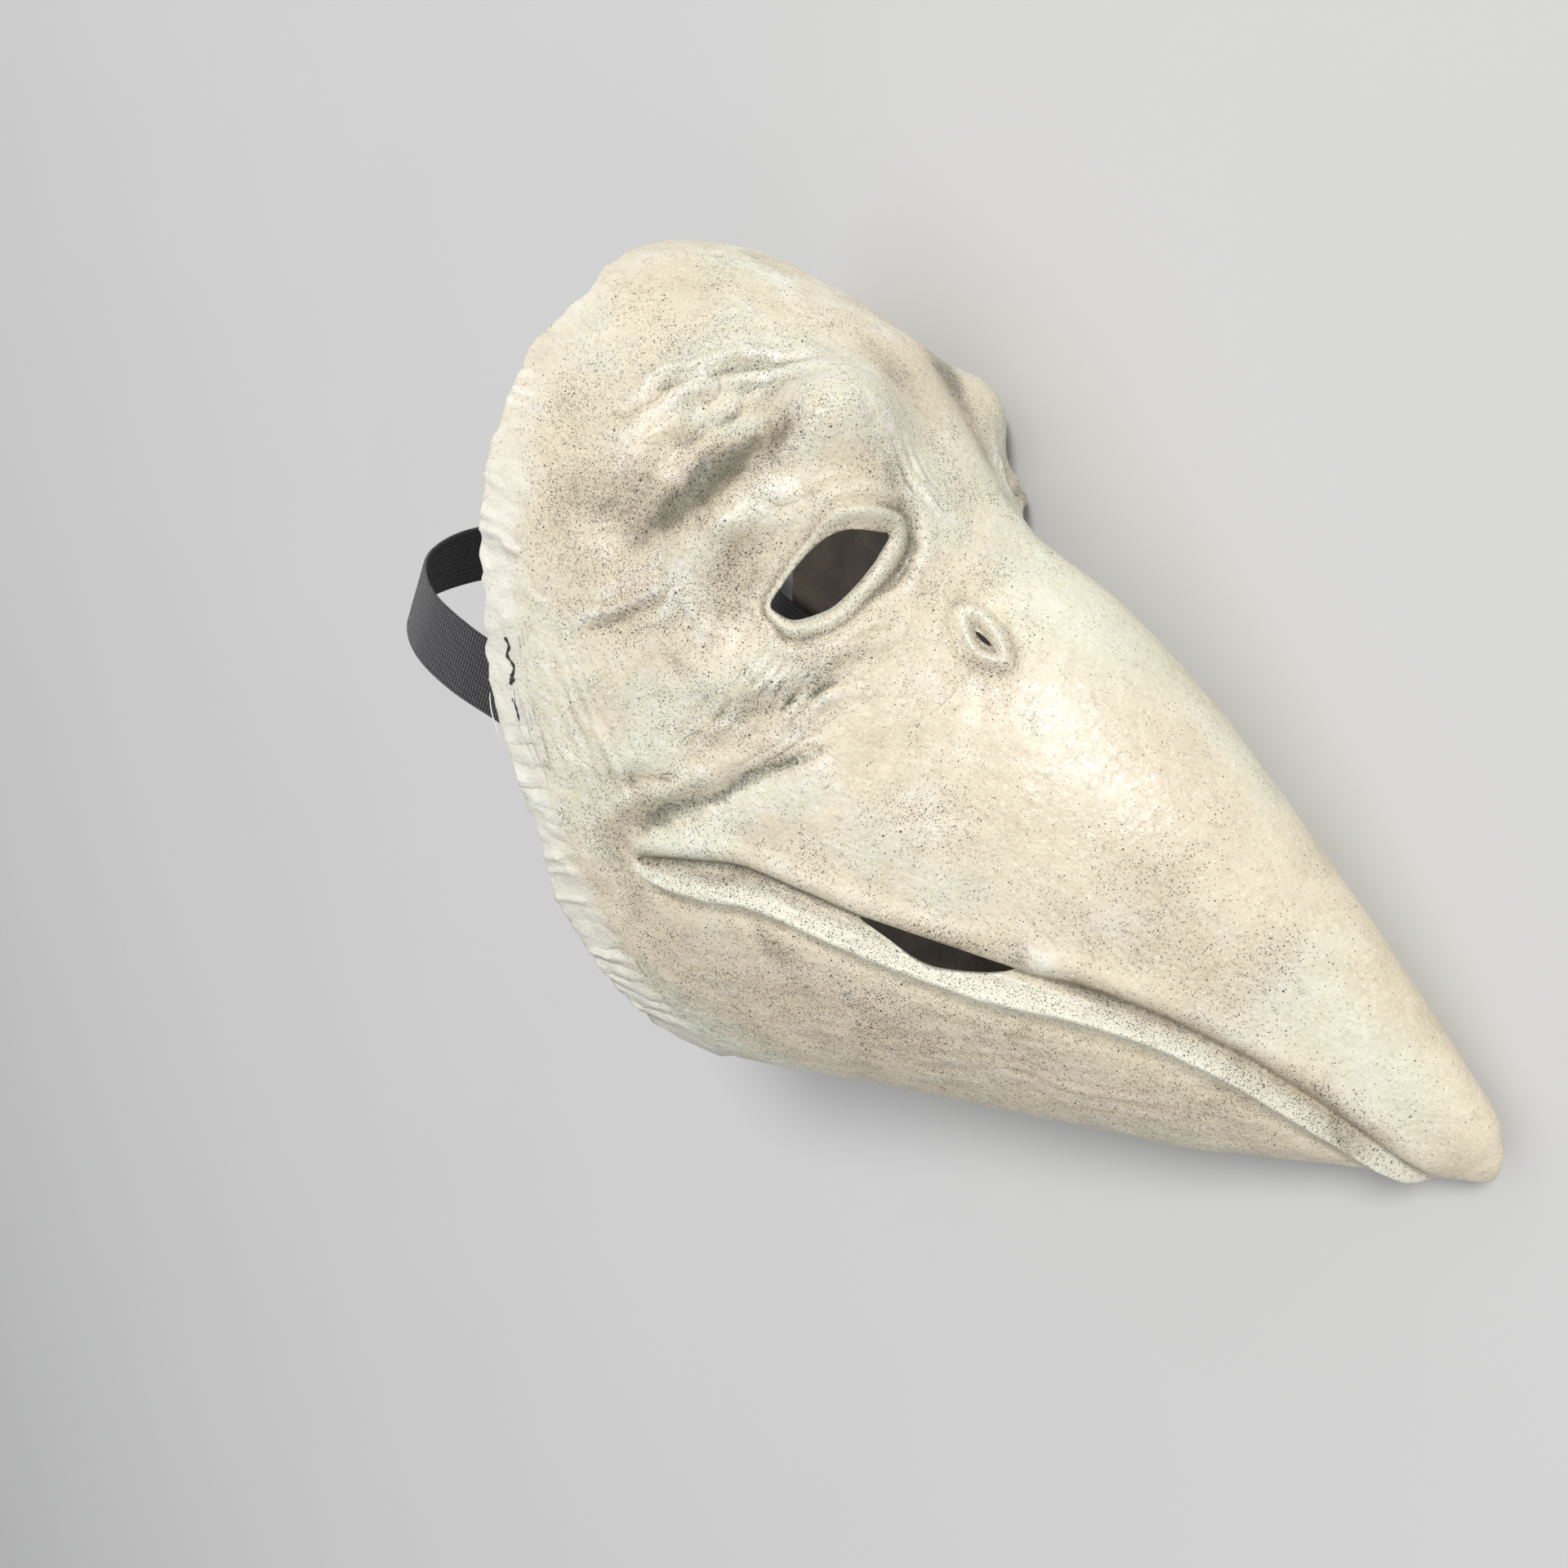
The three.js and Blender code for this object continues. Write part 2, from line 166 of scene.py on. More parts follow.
def curve_between(p0, p1, p2, p3, f):
    return 0.5 * (
        2 * p1 + (p2 - p0) * f + (2 * p0 - 5 * p1 + 4 * p2 - p3) * f ** 2
        + (3 * p1 - p0 - 3 * p2 + p3) * f ** 3
    )


def along_table(table, u):
    """Rows of a table at the places u, on a smooth curve through them."""
    table = np.asarray(table, float)
    last = len(table) - 1
    i = np.clip(u.astype(int), 0, last - 1)
    p0, p1 = table[np.maximum(i - 1, 0)], table[i]
    p2, p3 = table[i + 1], table[np.minimum(i + 2, last)]
    return curve_between(p0, p1, p2, p3, (u - i)[..., None])


def between(t, low, high, a, b):
    """In a straight line from a at low to b at high."""
    return (high - t) / (high - low) * a + (t - low) / (high - low) * b


def smooth_path(stops, count):
    """Even points on a smooth curve through the stops, and its length."""
    stops = np.asarray(stops, float)
    ends = np.vstack([2 * stops[0] - stops[1], stops, 2 * stops[-1] - stops[-2]])
    dense = []
    for k in range(1, len(ends) - 2):
        p = ends[k - 1:k + 3]
        steps = np.sqrt(np.linalg.norm(np.diff(p, axis=0), axis=1))
        knots = np.concatenate([[0], np.cumsum(steps)])
        last = k == len(ends) - 3
        t = np.linspace(knots[1], knots[2], CURVE_STEPS, endpoint=last)[:, None]
        a = [between(t, knots[i], knots[i + 1], p[i], p[i + 1]) for i in range(3)]
        b = [between(t, knots[i], knots[i + 2], a[i], a[i + 1]) for i in range(2)]
        dense.append(between(t, knots[1], knots[2], *b))
    dense = np.vstack(dense)
    run = running_length(dense)
    even = np.linspace(0, run[-1], count)
    return np.stack([np.interp(even, run, dense[:, k]) for k in range(3)], 1), run[-1]


def running_length(points):
    return np.concatenate([[0], np.cumsum(np.linalg.norm(np.diff(points, axis=0), axis=1))])


def smooth_step(a, b, x):
    k = np.clip((x - a) / (b - a), 0, 1)
    return k * k * (3 - 2 * k)


def lattice_noise(points, size, seed):
    """Smooth value noise from -1 to 1 with cells of the given size."""
    q = np.asarray(points, float) / size + 1000.0
    cell = np.floor(q).astype(np.int64)
    f = q - cell
    f = f * f * (3 - 2 * f)
    total = np.zeros(q.shape[:-1])
    for corner in range(8):
        step = np.array([corner & 1, corner >> 1 & 1, corner >> 2 & 1])
        c = cell + step
        code = np.bitwise_xor.reduce(c * MIXERS, axis=-1) ^ seed * SEED_MIXER
        code = (code ^ code >> 13) * 1274126177 & 0x7FFFFFFF
        value = (code % 20011) / 10005.5 - 1.0
        weight = np.prod(np.where(step == 1, f, 1 - f), axis=-1)
        total += value * weight
    return total


def lattice_shift(points, size, seed):
    """A smooth random shift for each point, from -1 to 1 in each direction."""
    return np.stack([lattice_noise(points, size, seed + k) for k in range(3)], -1)


def layered(points, layers):
    """A sum of noises, each given by its strength, size and seed."""
    return sum(strength * lattice_noise(points, size, seed) for strength, size, seed in layers)


# Strap

STRAP_WIDTH = 22.0
STRAP_THICK = 1.2
STRAP_RISE = math.radians(25)
STRAP_SEAT = (14, 0, 25)
STRAP_RIBS = 13
STRAP_RIB_DEPTH = 0.28
STRAP_RIB_STEPS = 4
STRAP_EDGE_ROUND = 0.5
STRAP_ROWS = 240
STRAP_NARROWING = 0.012
STRAP_WAVE = 0.11
STRAP_STOPS = [
    (-14, -71.4), (0, -73.6), (18, -75), (38, -71), (56, -58), (68, -38), (74, -14),
    (75, 12), (73, 38), (68, 62), (59, 83.5), (47, 97.6), (34, 95.8), (21, 85), (9, 75.5),
    (0, 73.4), (-14, 71.4),
]


def strap_route():
    back = np.array([-math.cos(STRAP_RISE), 0, math.sin(STRAP_RISE)])
    stops = [np.array(STRAP_SEAT) + back * b + (0, across, 0) for b, across in STRAP_STOPS]
    return smooth_path(stops, STRAP_ROWS)


def strap_profile():
    """Cross-section of the ribbed band: place across the width, height off its middle."""
    face = []
    steps = STRAP_RIBS * STRAP_RIB_STEPS
    for k in range(steps + 1):
        across = (k / steps - 0.5) * STRAP_WIDTH
        swell = abs(math.sin(math.pi * k / STRAP_RIB_STEPS)) ** 0.6
        edge = min(1.0, (STRAP_WIDTH / 2 - abs(across)) / STRAP_EDGE_ROUND)
        height = (STRAP_THICK / 2 - STRAP_RIB_DEPTH * (1 - swell)) * (0.35 + 0.65 * edge)
        face.append((across, height))
    return face + [(a, -h) for a, h in reversed(face)]


def make_strap():
    route, length = strap_route()
    side = np.array([math.sin(STRAP_RISE), 0, math.cos(STRAP_RISE)])
    profile = strap_profile()
    n = len(profile)
    points = []
    for i, (hub, run) in enumerate(zip(route, unit(np.gradient(route, axis=0)))):
        out = np.cross(run, side)
        slack = 1 - STRAP_NARROWING * math.sin(i * STRAP_WAVE) ** 2
        points += [hub + side * a * slack + out * h for a, h in profile]
    sides, ends = tube_faces(STRAP_ROWS, n, flipped=True)
    strap = add_mesh("head_strap_woven", to_row(points), sides + ends)
    uv = strap.data.uv_layers.new(name="weave")
    step = length / (STRAP_ROWS - 1)
    corner = loop_points(strap)
    across = np.array([a for a, h in profile])[corner % n]
    uv.data.foreach_set("uv", np.stack([(corner // n) * step, across], 1).ravel())
    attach(strap, "root")
    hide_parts("head_strap")
    return strap


strap = make_strap()


# Form of the casting

# Each station: top x z, bottom x z, forward bow, half width, share of depth above the widest line,
# fullness above and below it, and where the mouth line falls round the section.
STATIONS = [
    (22, 153, 69, -98.5, -35, 80, 0.4, 0.93, 0.78, 0.655),
    (44, 151, 80, -98.5, -27, 77, 0.42, 0.93, 0.79, 0.655),
    (66, 143, 93, -98, -18, 72, 0.45, 0.93, 0.8, 0.635),
    (88, 132, 106, -97.5, -10, 65, 0.5, 0.9, 0.8, 0.605),
    (107, 118, 120, -97, -3, 58, 0.56, 0.9, 0.8, 0.585),
    (124, 96, 134, -96.5, 0, 51, 0.6, 1.05, 0.8, 0.557),
    (142, 72, 148, -96, 0, 46, 0.62, 1.15, 0.8, 0.525),
    (167, 55, 166, -95.5, 0, 41, 0.64, 1.05, 0.8, 0.5),
    (194, 31, 185, -95, 0, 35.5, 0.63, 1, 0.8, 0.487),
    (217, 5, 203, -94.5, 0, 30, 0.61, 1, 0.8, 0.48),
    (238, -19.5, 222, -92.5, 0, 24, 0.58, 1, 0.8, 0.497),
    (257, -43, 240, -90.5, 0, 17, 0.55, 0.95, 0.8, 0.562),
    (270, -59.5, 256, -89.5, 0, 11.5, 0.52, 0.9, 0.8, 0.69),
    (277.5, -70.5, 267, -88, 0, 7, 0.5, 0.85, 0.85, 0.86),
    (279, -79.5, 273, -87.3, 0, 3.5, 0.5, 0.85, 0.9, 0.93),
]
# How far the open rim stands forward of its first station, by the place round the section.
RIM_SWEEP = [
    (0, 4), (.16, 4.4), (.235, -3.5), (.32, -3.8), (.37, -1.6), (.45, 2.8), (.56, 4), (.66, -5),
    (.74, -12), (.84, -14), (1, -10),
]
SWEEP_REACH = 1.8
LAST = 14
INNER_LAST = 12.4
TIP = (278.2, 0, -85.2)
TIP_RINGS = 9
MOUTH_T = 0.58
WALL = 2.2

# Broad forms of the casting: path of (x, |y|, z), reach, height along the outward normal.
BROAD_FORMS = [
    ([(103, 35, 100)], 16, 13),
    ([(115, 42, 76)], 11, 7),
    ([(108, 47, 78), (96, 53, 79), (84, 58, 74)], 7, 3),
    ([(110, 14, 114), (124, 13, 94), (134, 12, 82)], 9, -1.6),
    ([(118, 38, 60), (106, 48, 56), (90, 56, 52)], 10, -4),
    ([(98, 47, 97), (86, 56, 84), (76, 63, 68)], 9, 3.5),
    ([(85, 45, 112), (76, 57, 100), (66, 67, 85), (60, 71, 72)], 9, -5),
    ([(84, 61, 30), (97, 58, 34), (110, 51, 41), (120, 43, 48)], 7, 2.5),
    ([(113, 56, 24), (100, 62, 12), (84, 67, 0), (64, 71, -9), (50, 71, -21)], 5.5, -1.3),
]
# How far below the mouth line the lip's crest runs, by station.
LIP_CREST = [
    (1.4, 2.0), (1.55, 5.0), (1.9, 8.6), (2.4, 10.6), (6.4, 10.2), (7.4, 8.8), (8.5, 7.6),
    (10.5, 7.2), (12, 5.5), (14, 4),
]

# Sculpted folds: path, reach, height, lean towards one side.
FOLD_STEPS = 5
FOLD_MARGIN = 3.2
FOLD_FADE = 0.22
CREASE_POWER = 1.35
RIDGE_POWER = 1.9
FOLDS = [
    ([(119, 52, 22), (112, 57, 16), (103, 60, 11), (91, 64, 6), (83, 66, 1), (75, 67, -3),
      (70, 68, -5),
      (65, 69, -9), (60, 69.5, -12), (54, 69, -18), (48.5, 69, -23)], 1.25, -1.9, -.4),
    ([(113, 57, 22), (103, 61.5, 16.5), (91, 65, 11), (81, 67, 6), (71, 69, 0.5)], 3.0, 1.5),
    ([(78, 67.5, 5), (71.5, 68.5, 0), (63, 70, -2.5), (58.5, 71, -1.5), (55, 70.5, -7.5),
      (52, 70.5, -12)], 1.6, 1.9),
    ([(74, 68, 3.5), (66, 70, 2.5), (60, 71, 3), (55, 72, -1)], 1.5, -1.1),
    ([(66, 70, 8), (59, 71, 8), (53, 72.5, 4)], 2.2, 1.0),
    ([(66, 64, 73), (75, 59.5, 83.5), (80, 54.5, 91), (89, 51.5, 97.5),
      (102, 51, 103)], 4.0, -3.4, .25),
    ([(58, 65, 80), (69, 60, 90), (76, 53, 98), (87, 46, 104)], 2.2, 1.7),
    ([(50, 59, 109), (58, 53.5, 114), (64, 49.5, 116.6), (73, 42.5, 118.6),
      (87, 34, 117.6)], 1.5, 1.5),
    ([(54, 58, 106), (63, 52, 111.6), (72, 44.5, 115.2), (82, 37, 115.5)], 1.4, -1.2),
    ([(60, 57, 104), (66, 52.5, 108.5), (72, 47, 112), (84, 37.5, 113)], 1.4, 1.5),
    ([(60, 60, 100), (66, 55, 104.6), (74, 47, 108.6)], 1.2, -1.0),
    ([(58, 60.5, 98), (64, 56, 102.6), (71, 49.5, 106.6), (80, 41, 110)], 1.3, 1.4),
    ([(56, 63, 93), (63, 58, 98), (71, 51.5, 101.5), (78, 44.5, 106.5), (90, 37, 112)], 1.7, 1.5),
    ([(64, 61, 92), (72, 54.5, 98.5), (82, 47, 103)], 1.4, -1.0),
    ([(86, 62, 80.5), (94, 58, 78.8), (101.5, 53.5, 81), (111, 49, 84.6),
      (118, 42, 86)], 1.7, 1.7, -.3),
    ([(90, 60.5, 76), (97, 56, 76.6), (106, 52, 80.5), (116, 46.5, 82)], 1.4, -1.3),
    ([(80, 60, 84), (90, 56, 85), (99, 51, 87), (106, 46, 91)], 1.6, -1.2),
    ([(78, 58, 86), (88, 53, 90), (97, 46, 95)], 2.2, 1.3),
    ([(92, 57, 79.5), (98, 53.5, 81.8), (103, 50.5, 84.4)], 1.0, -0.8),
    ([(94, 57, 73), (101, 54, 74.5), (108, 51, 77.6)], 1.3, 1.0),
    ([(112, 51, 74), (119, 46.5, 77.8), (122.5, 39, 75.2), (123, 34.5, 70)], 1.5, -1.3),
    ([(117, 26, 98), (120.5, 25.5, 91), (122.5, 23.5, 87), (125.5, 22.5, 81.5), (129, 22, 76)],
     1.6, 1.3),
    ([(119, 31.8, 93), (121, 30.8, 85.6), (123.3, 31, 78.7), (124.5, 31.5, 71),
      (125, 31, 63)], 1.9, -1.5, .3),
    ([(116, 34, 99), (121, 34.5, 90), (123, 35, 81)], 1.4, 1.3),
    ([(113, 40, 97), (118, 41, 90), (120, 41, 83)], 1.2, 1.2),
    ([(115, 37.5, 97), (119.5, 38, 90), (121, 38, 83)], 1.1, -1.0),
    ([(108, 45, 97), (113, 46, 91), (115, 46, 86)], 1.1, 1.0),
    ([(84, 61, 64), (88, 57, 66), (93, 53, 69)], 2.2, -0.8),
    ([(124, 39, 50), (119, 45, 45), (111, 53, 39), (98, 60, 32), (86, 65, 27)], 1.9, 2.4),
    ([(126, 40, 45), (122, 43, 40.5), (112, 53, 34), (100, 60, 27), (88, 64, 22)], 1.6, -2.4),
    ([(128, 37.5, 44), (126, 39.5, 41), (118, 47, 35), (108, 55, 29), (96, 61, 23)], 1.5, 2.0),
    ([(116, 49, 41), (107, 56, 37), (97, 60.5, 32.5)], 1.3, -1.8),
    ([(96, 60, 31), (90, 62, 28), (84, 64, 29), (78, 66, 27)], 1.5, 2.0),
    ([(94, 62, 26), (87, 64, 24), (80, 66, 23.5)], 1.2, -1.6),
    ([(92, 62, 21), (85, 65, 18.5), (77, 67, 18.5)], 1.5, 1.8),
    ([(40, 76, 46), (46.5, 75, 49.2), (52, 74, 49), (58, 72, 51.2), (64, 70, 55), (69, 68, 60),
      (78, 67, 63.5)], 1.05, 1.8, .2),
    ([(45, 75.5, 45.5), (52, 74.5, 46), (58.5, 73, 48.2), (65, 71, 52), (71, 69, 57)], 1.2, -0.9),
    ([(74, 67, 62), (72, 67.6, 57), (69.5, 69, 51.4), (68, 70, 45), (67.3, 70.5, 35)], 1.7, 1.3),
    ([(76, 66, 52), (73, 67.5, 42), (72.5, 68.5, 32)], 1.8, -0.9),
    ([(81, 64, 50), (78, 66, 40), (77.5, 67, 30)], 1.8, 0.9),
    ([(9, 79, 69.5), (14, 79, 69.2), (19.6, 78, 68.7), (22.8, 78, 66.2),
      (27, 77.5, 66.6)], 1.2, 2.0, .4),
    ([(9, 80, 43.5), (15, 80, 44.2), (21.3, 79, 45), (29, 78, 48.6)], 1.2, 1.8, .4),
    ([(22, 79, 66), (22.5, 79, 58), (24, 79, 50)], 1.6, -0.8),
    ([(26, 78, 55), (31, 77, 52), (36, 76.5, 49)], 1.4, 1.1),
    ([(105, 24, 104), (95, 37, 99), (87, 48.5, 89), (79, 56, 76), (74, 61, 63)], 3.0, 0.9),
    ([(60, 63, 84), (55, 66, 76), (52, 69, 66)], 2.4, 0.9),
    ([(45, 60, 120), (55, 52, 125), (66, 42, 128)], 1.8, 1.0),
    ([(36, 66, 108), (48, 61, 112)], 1.9, -0.9),
    ([(30, 72, 92), (38, 70, 96), (47, 66, 98)], 1.7, 0.9),
    ([(45, 74, 20), (52, 73, 12), (56, 72, 2)], 1.9, 1.0),
    ([(38, 76, 10), (44, 75, 2)], 1.8, 0.9),
    ([(104, 36, 106), (108, 33, 100), (111, 32, 93)], 1.9, -1.2),
]

# Sprayed brown stains: path, reach, strength. The first, along the furrow over the eye, is partly
# painted shade of the furrow.
WASHES = [
    ([(104, 50, 103), (92, 52, 98), (82, 55, 91.5), (75, 60, 83), (68, 64, 75)], 8, 1.55),
    ([(70, 64, 76), (55, 67, 81), (42, 71, 80)], 13, 0.85),
    ([(49, 73, 63), (60, 70, 56)], 12, 0.5),
    ([(84, 63, 70), (88, 59, 60), (84, 63, 50)], 9, 0.54),
    ([(120, 34, 83), (124, 31, 72), (130, 32, 58)], 6, 0.55),
    ([(112, 50, 76), (119, 46, 79), (123, 38, 76)], 4.5, 0.75),
    ([(112, 55, 41), (96, 62, 28), (84, 65, 20)], 10, 0.5),
    ([(66, 70, -5), (54, 71, -11), (48, 69, -24), (52, 66, -38)], 6, 0.6),
    ([(104, 60, 13), (84, 66, 3), (66, 70, -5)], 2.6, 0.32),
    ([(97, 57, -43), (104, 55, -46)], 4.5, 0.8),
    ([(150, 33, 40), (160, 31, 27)], 6, 0.45),
    ([(181, 37, -30), (176, 38, -24)], 10, 0.50),
    ([(195, 30, -10), (212, 30, -46), (222, 24, -33)], 14, 0.48),
    ([(107, 50, -60), (153, 39, -68), (196, 31, -70), (220, 24, -74)], 14, 0.60),
    ([(75, 60, -60), (130, 45, -75), (200, 27, -78)], 24, 0.44),
    ([(143, 44, -56), (167, 39, -60)], 6, 0.7),
    ([(176, 39, -44), (236, 23, -65), (253, 12, -79)], 5.5, 0.95),
    ([(62, 68, -22), (90, 61, -23), (120, 53, -32), (144, 48, -35), (163, 43, -39)], 4.5, 0.8),
    ([(48, 58, 104), (40, 66, 98)], 16, 0.42),
    ([(60, 45, 122), (75, 38, 120)], 12, 0.3),
]

# Where the paint stayed pale, chalky or greenish: path, reach, strength.
PALES = [
    ([(70, 47, 121), (86, 36, 122), (100, 34, 112)], 11, 0.9),
    ([(108, 38, 100), (118, 28, 90), (128, 20, 76)], 9, 1.0),
    ([(84, 49, 103), (72, 54, 102)], 5, 0.7),
    ([(108, 58, 6), (92, 63, -2), (76, 66, -11), (66, 67, -18)], 5.5, 1.0),
    ([(128, 12, 84), (150, 8, 66), (186, 6, 42), (222, 5, 4)], 10, 0.42),
    ([(30, 76, 52), (34, 76, 30), (40, 75, 8), (44, 73, -14)], 11, 0.7),
    ([(92, 56, 78), (108, 50, 82)], 5, 0.7),
    ([(60, 72, 30), (74, 69, 24), (86, 65, 26)], 9, 0.7),
    ([(40, 62, 118), (28, 60, 134)], 12, 0.6),
    ([(250, 10, -60), (262, 8, -74)], 7, 0.25),
    ([(120, 50, -8), (150, 42, -22)], 9, 0.45),
]

# Places where the glaze pooled and dried shiny: path, reach, strength.
GLOSSES = [
    ([(152, 27, 44), (162, 33, 24), (160, 37, 8), (168, 35, -4)], 15, 1),
    ([(176, 26, 24), (190, 26, 6)], 12, 1),
    ([(72, 43, 118), (84, 36, 116)], 6, 1),
    ([(112, 38, 104), (119, 31, 92), (124, 26, 82)], 7, 1),
    ([(130, 30, 62), (128, 38, 44), (118, 47, 32)], 6, 1),
    ([(205, 4, 20), (232, 4, -8), (252, 3, -34)], 10, 1),
    ([(88, 60, 80), (104, 52, 82)], 6, 1),
    ([(96, 60, 30), (84, 66, 18)], 8, 1),
]

# Fine parallel wrinkles: middle path, reach, direction of the wrinkles, pitch, strength.
WRINKLES = [
    ([(119, 46, 40), (109, 55, 34), (96, 61, 26), (80, 66, 20)], 9, (-40, 29, -26), 3.3, 1.0),
    ([(84, 62, 76), (96, 56, 80), (108, 50, 84), (119, 40, 84)], 8, (32, -20, 8), 3.0, 0.9),
    ([(52, 60, 104), (62, 54, 108), (74, 46, 111), (88, 36, 114)], 8, (30, -25, 15), 3.4, 0.9),
    ([(72, 67, 56), (71, 69, 42), (76, 68, 30)], 7, (-3, 3, -28), 4.0, 0.55),
    ([(119, 30, 92), (124, 28, 78)], 7, (8, -2, -30), 2.8, 0.8),
    ([(108, 58, 18), (88, 64, 8), (68, 69, 0)], 5, (-40, 11, -18), 3.0, 0.6),
    ([(40, 75, 30), (48, 74, 6)], 14, (12, -3, -26), 4.6, 0.35),
    ([(75, 62, -60), (130, 46, -72), (200, 27, -78)], 17, (125, -36, -14), 2.1, 0.30),
    ([(40, 56, 126), (70, 40, 124)], 12, (30, -22, 6), 4.2, 0.35),
    ([(170, 40, -28), (225, 24, -58)], 13, (48, -12, -42), 2.4, 0.22),
]
RIM_PITCH = 7.0
RIM_DEPTH = 0.6
WRINKLE_DEPTH = 0.75
MESHED_PITCH = 2.6

# Openings on the right side: centre, outward (x, y), outline in millimetres (forward, up).
EYE = (
    (108, -47, 60), (.58, -.81),
    [(-15.5, -7.5), (-13, -10.2), (-9, -11.6), (-3, -10), (2.5, -7), (10, .5), (14.5, 7),
     (16, 11), (12, 12.2), (6, 12.9), (1, 11.7), (-3.5, 8.4), (-8, 3.6), (-12.5, -2.4)],
)
NOSTRIL = (
    (145, -28.6, 44), (.45, -.89),
    [(-2.2, 1.9), (-1.5, .3), (.3, -1.3), (2.0, -2.0), (1.6, -.8), (-.3, .9)],
)
SLIT = (
    (143, -48, -38), (.28, -.96),
    [(-21, 6.3), (-12.6, .6), (-6.6, -3.2), (-.4, -5.3), (8.4, -5.6), (16, -4.9), (21.2, -3.2),
     (16.5, -1.4), (6, 1.3), (-4.6, 3.7), (-12, 5.2)],
)
SLIT_FLARE = 2.6
CUT_DEPTHS = (-14.0, -3.5, 16.0)
EYE_REACH = 36
NOSTRIL_REACH = 22
# Rings of the eye's rim: distance from the opening, width, height, how much the place changes it.
LID_PROFILE = [(2.2, 1.7, 1.9, 0.1), (5.3, 1.25, -1.3, 0.9), (8.6, 2.0, 0.6, 0.5)]
NOSTRIL_LIP = [
    (-5.4, 7.0), (-1.6, 6.6), (2.0, 3.7), (4.7, -.4), (6.0, -5.2), (2.7, -5.5), (-1.1, -4.3),
    (-4.1, -1.2), (-5.7, 2.8), (-6.2, 5.8),
]


def rim_sweep(u, t):
    at, by = np.transpose(RIM_SWEEP)
    i = np.clip(np.searchsorted(at, t) - 1, 0, len(at) - 2)
    k = smooth_step(at[i], at[i + 1], t)
    return (by[i] * (1 - k) + by[i + 1] * k) * np.maximum(1 - u / SWEEP_REACH, 0) ** 2


def base_section(u, t):
    """Points of the bare form on the right side: u along the stations, t from top to bottom."""
    place = t
    rows = np.moveaxis(along_table(STATIONS, u), -1, 0)
    tx, tz, bx, bz, bow, half, wide, over, under, mouth = rows
    above = t * mouth / MOUTH_T
    t = np.where(t < MOUTH_T, above, mouth + (1 - mouth) * (t - MOUTH_T) / (1 - MOUTH_T))
    upper = t <= 0.5
    turn = np.clip(np.where(upper, t, 1 - t) / 0.5, 0, 1) * np.pi / 2
    s = np.where(upper, wide * (1 - np.cos(turn)), 1 - (1 - wide) * (1 - np.cos(turn)))
    y = half * np.sin(turn) ** np.where(upper, over, under)
    x = tx + (bx - tx) * s + bow * np.sin(np.pi * s ** 1.25) + rim_sweep(u, place)
    return np.stack([x, -y, tz + (bz - tz) * s], -1)


def section_normal(u, t):
    e = 1e-3
    along = base_section(np.minimum(u + e, LAST), t) - base_section(np.maximum(u - e, 0), t)
    round_ = base_section(u, np.minimum(t + e, 1)) - base_section(u, np.maximum(t - e, 0))
    n = np.cross(round_, along)
    return n / np.maximum(np.linalg.norm(n, axis=-1, keepdims=True), 1e-9)


def from_segment(points, a, b):
    """The nearest place on a segment, from 0 to 1, and the step from it to each point."""
    ab = b - a
    k = np.clip(((points - a) @ ab) / (ab @ ab), 0, 1)
    return k, points - a - k[..., None] * ab


def path_distance(points, path):
    path = np.asarray(path, float)
    if len(path) == 1:
        return np.linalg.norm(points - path[0], axis=-1)
    best = np.full(points.shape[:-1], FAR_AWAY)
    for a, b in zip(path[:-1], path[1:]):
        best = np.minimum(best, np.linalg.norm(from_segment(points, a, b)[1], axis=-1))
    return best


def bell(distance, spread):
    return np.exp(-(distance / spread) ** 2)


def marks(points, table):
    """How strong each mark of a table is at the points."""
    return [strength * bell(path_distance(points, path), reach) for path, reach, strength in table]


def fold_height(points, normals, path, reach, height, lean=0.0):
    """One fold: sharp at the bottom of a crease, round on a ridge, fading out at both ends.

    A positive lean makes the side on the left of the path's run wide and the other one steep.
    """
    path = smooth_path(path, FOLD_STEPS * len(path))[0]
    total = np.zeros(points.shape[:-1])
    margin = FOLD_MARGIN * reach
    inside = (points > path.min(0) - margin) & (points < path.max(0) + margin)
    near = np.all(inside, axis=-1)
    p, n = points[near], normals[near]
    best = np.full(len(p), FAR_AWAY)
    along = np.zeros(len(p))
    side = np.zeros(len(p))
    for k, (a, b) in enumerate(zip(path[:-1], path[1:])):
        f, off = from_segment(p, a, b)
        d = np.linalg.norm(off, axis=1)
        closer = d < best
        best = np.where(closer, d, best)
        along = np.where(closer, (k + f) / (len(path) - 1), along)
        turned = np.einsum("ij,ij->i", np.cross(b - a, off), n) / np.linalg.norm(b - a)
        side = np.where(closer, turned, side)
    spread = reach * (1 + lean * np.tanh(side / (0.4 * reach)))
    ends = smooth_step(0, FOLD_FADE, along) * smooth_step(0, FOLD_FADE, 1 - along)
    shape = np.exp(-(best / spread) ** (CREASE_POWER if height < 0 else RIDGE_POWER))
    total[near] = height * shape * ends
    return total


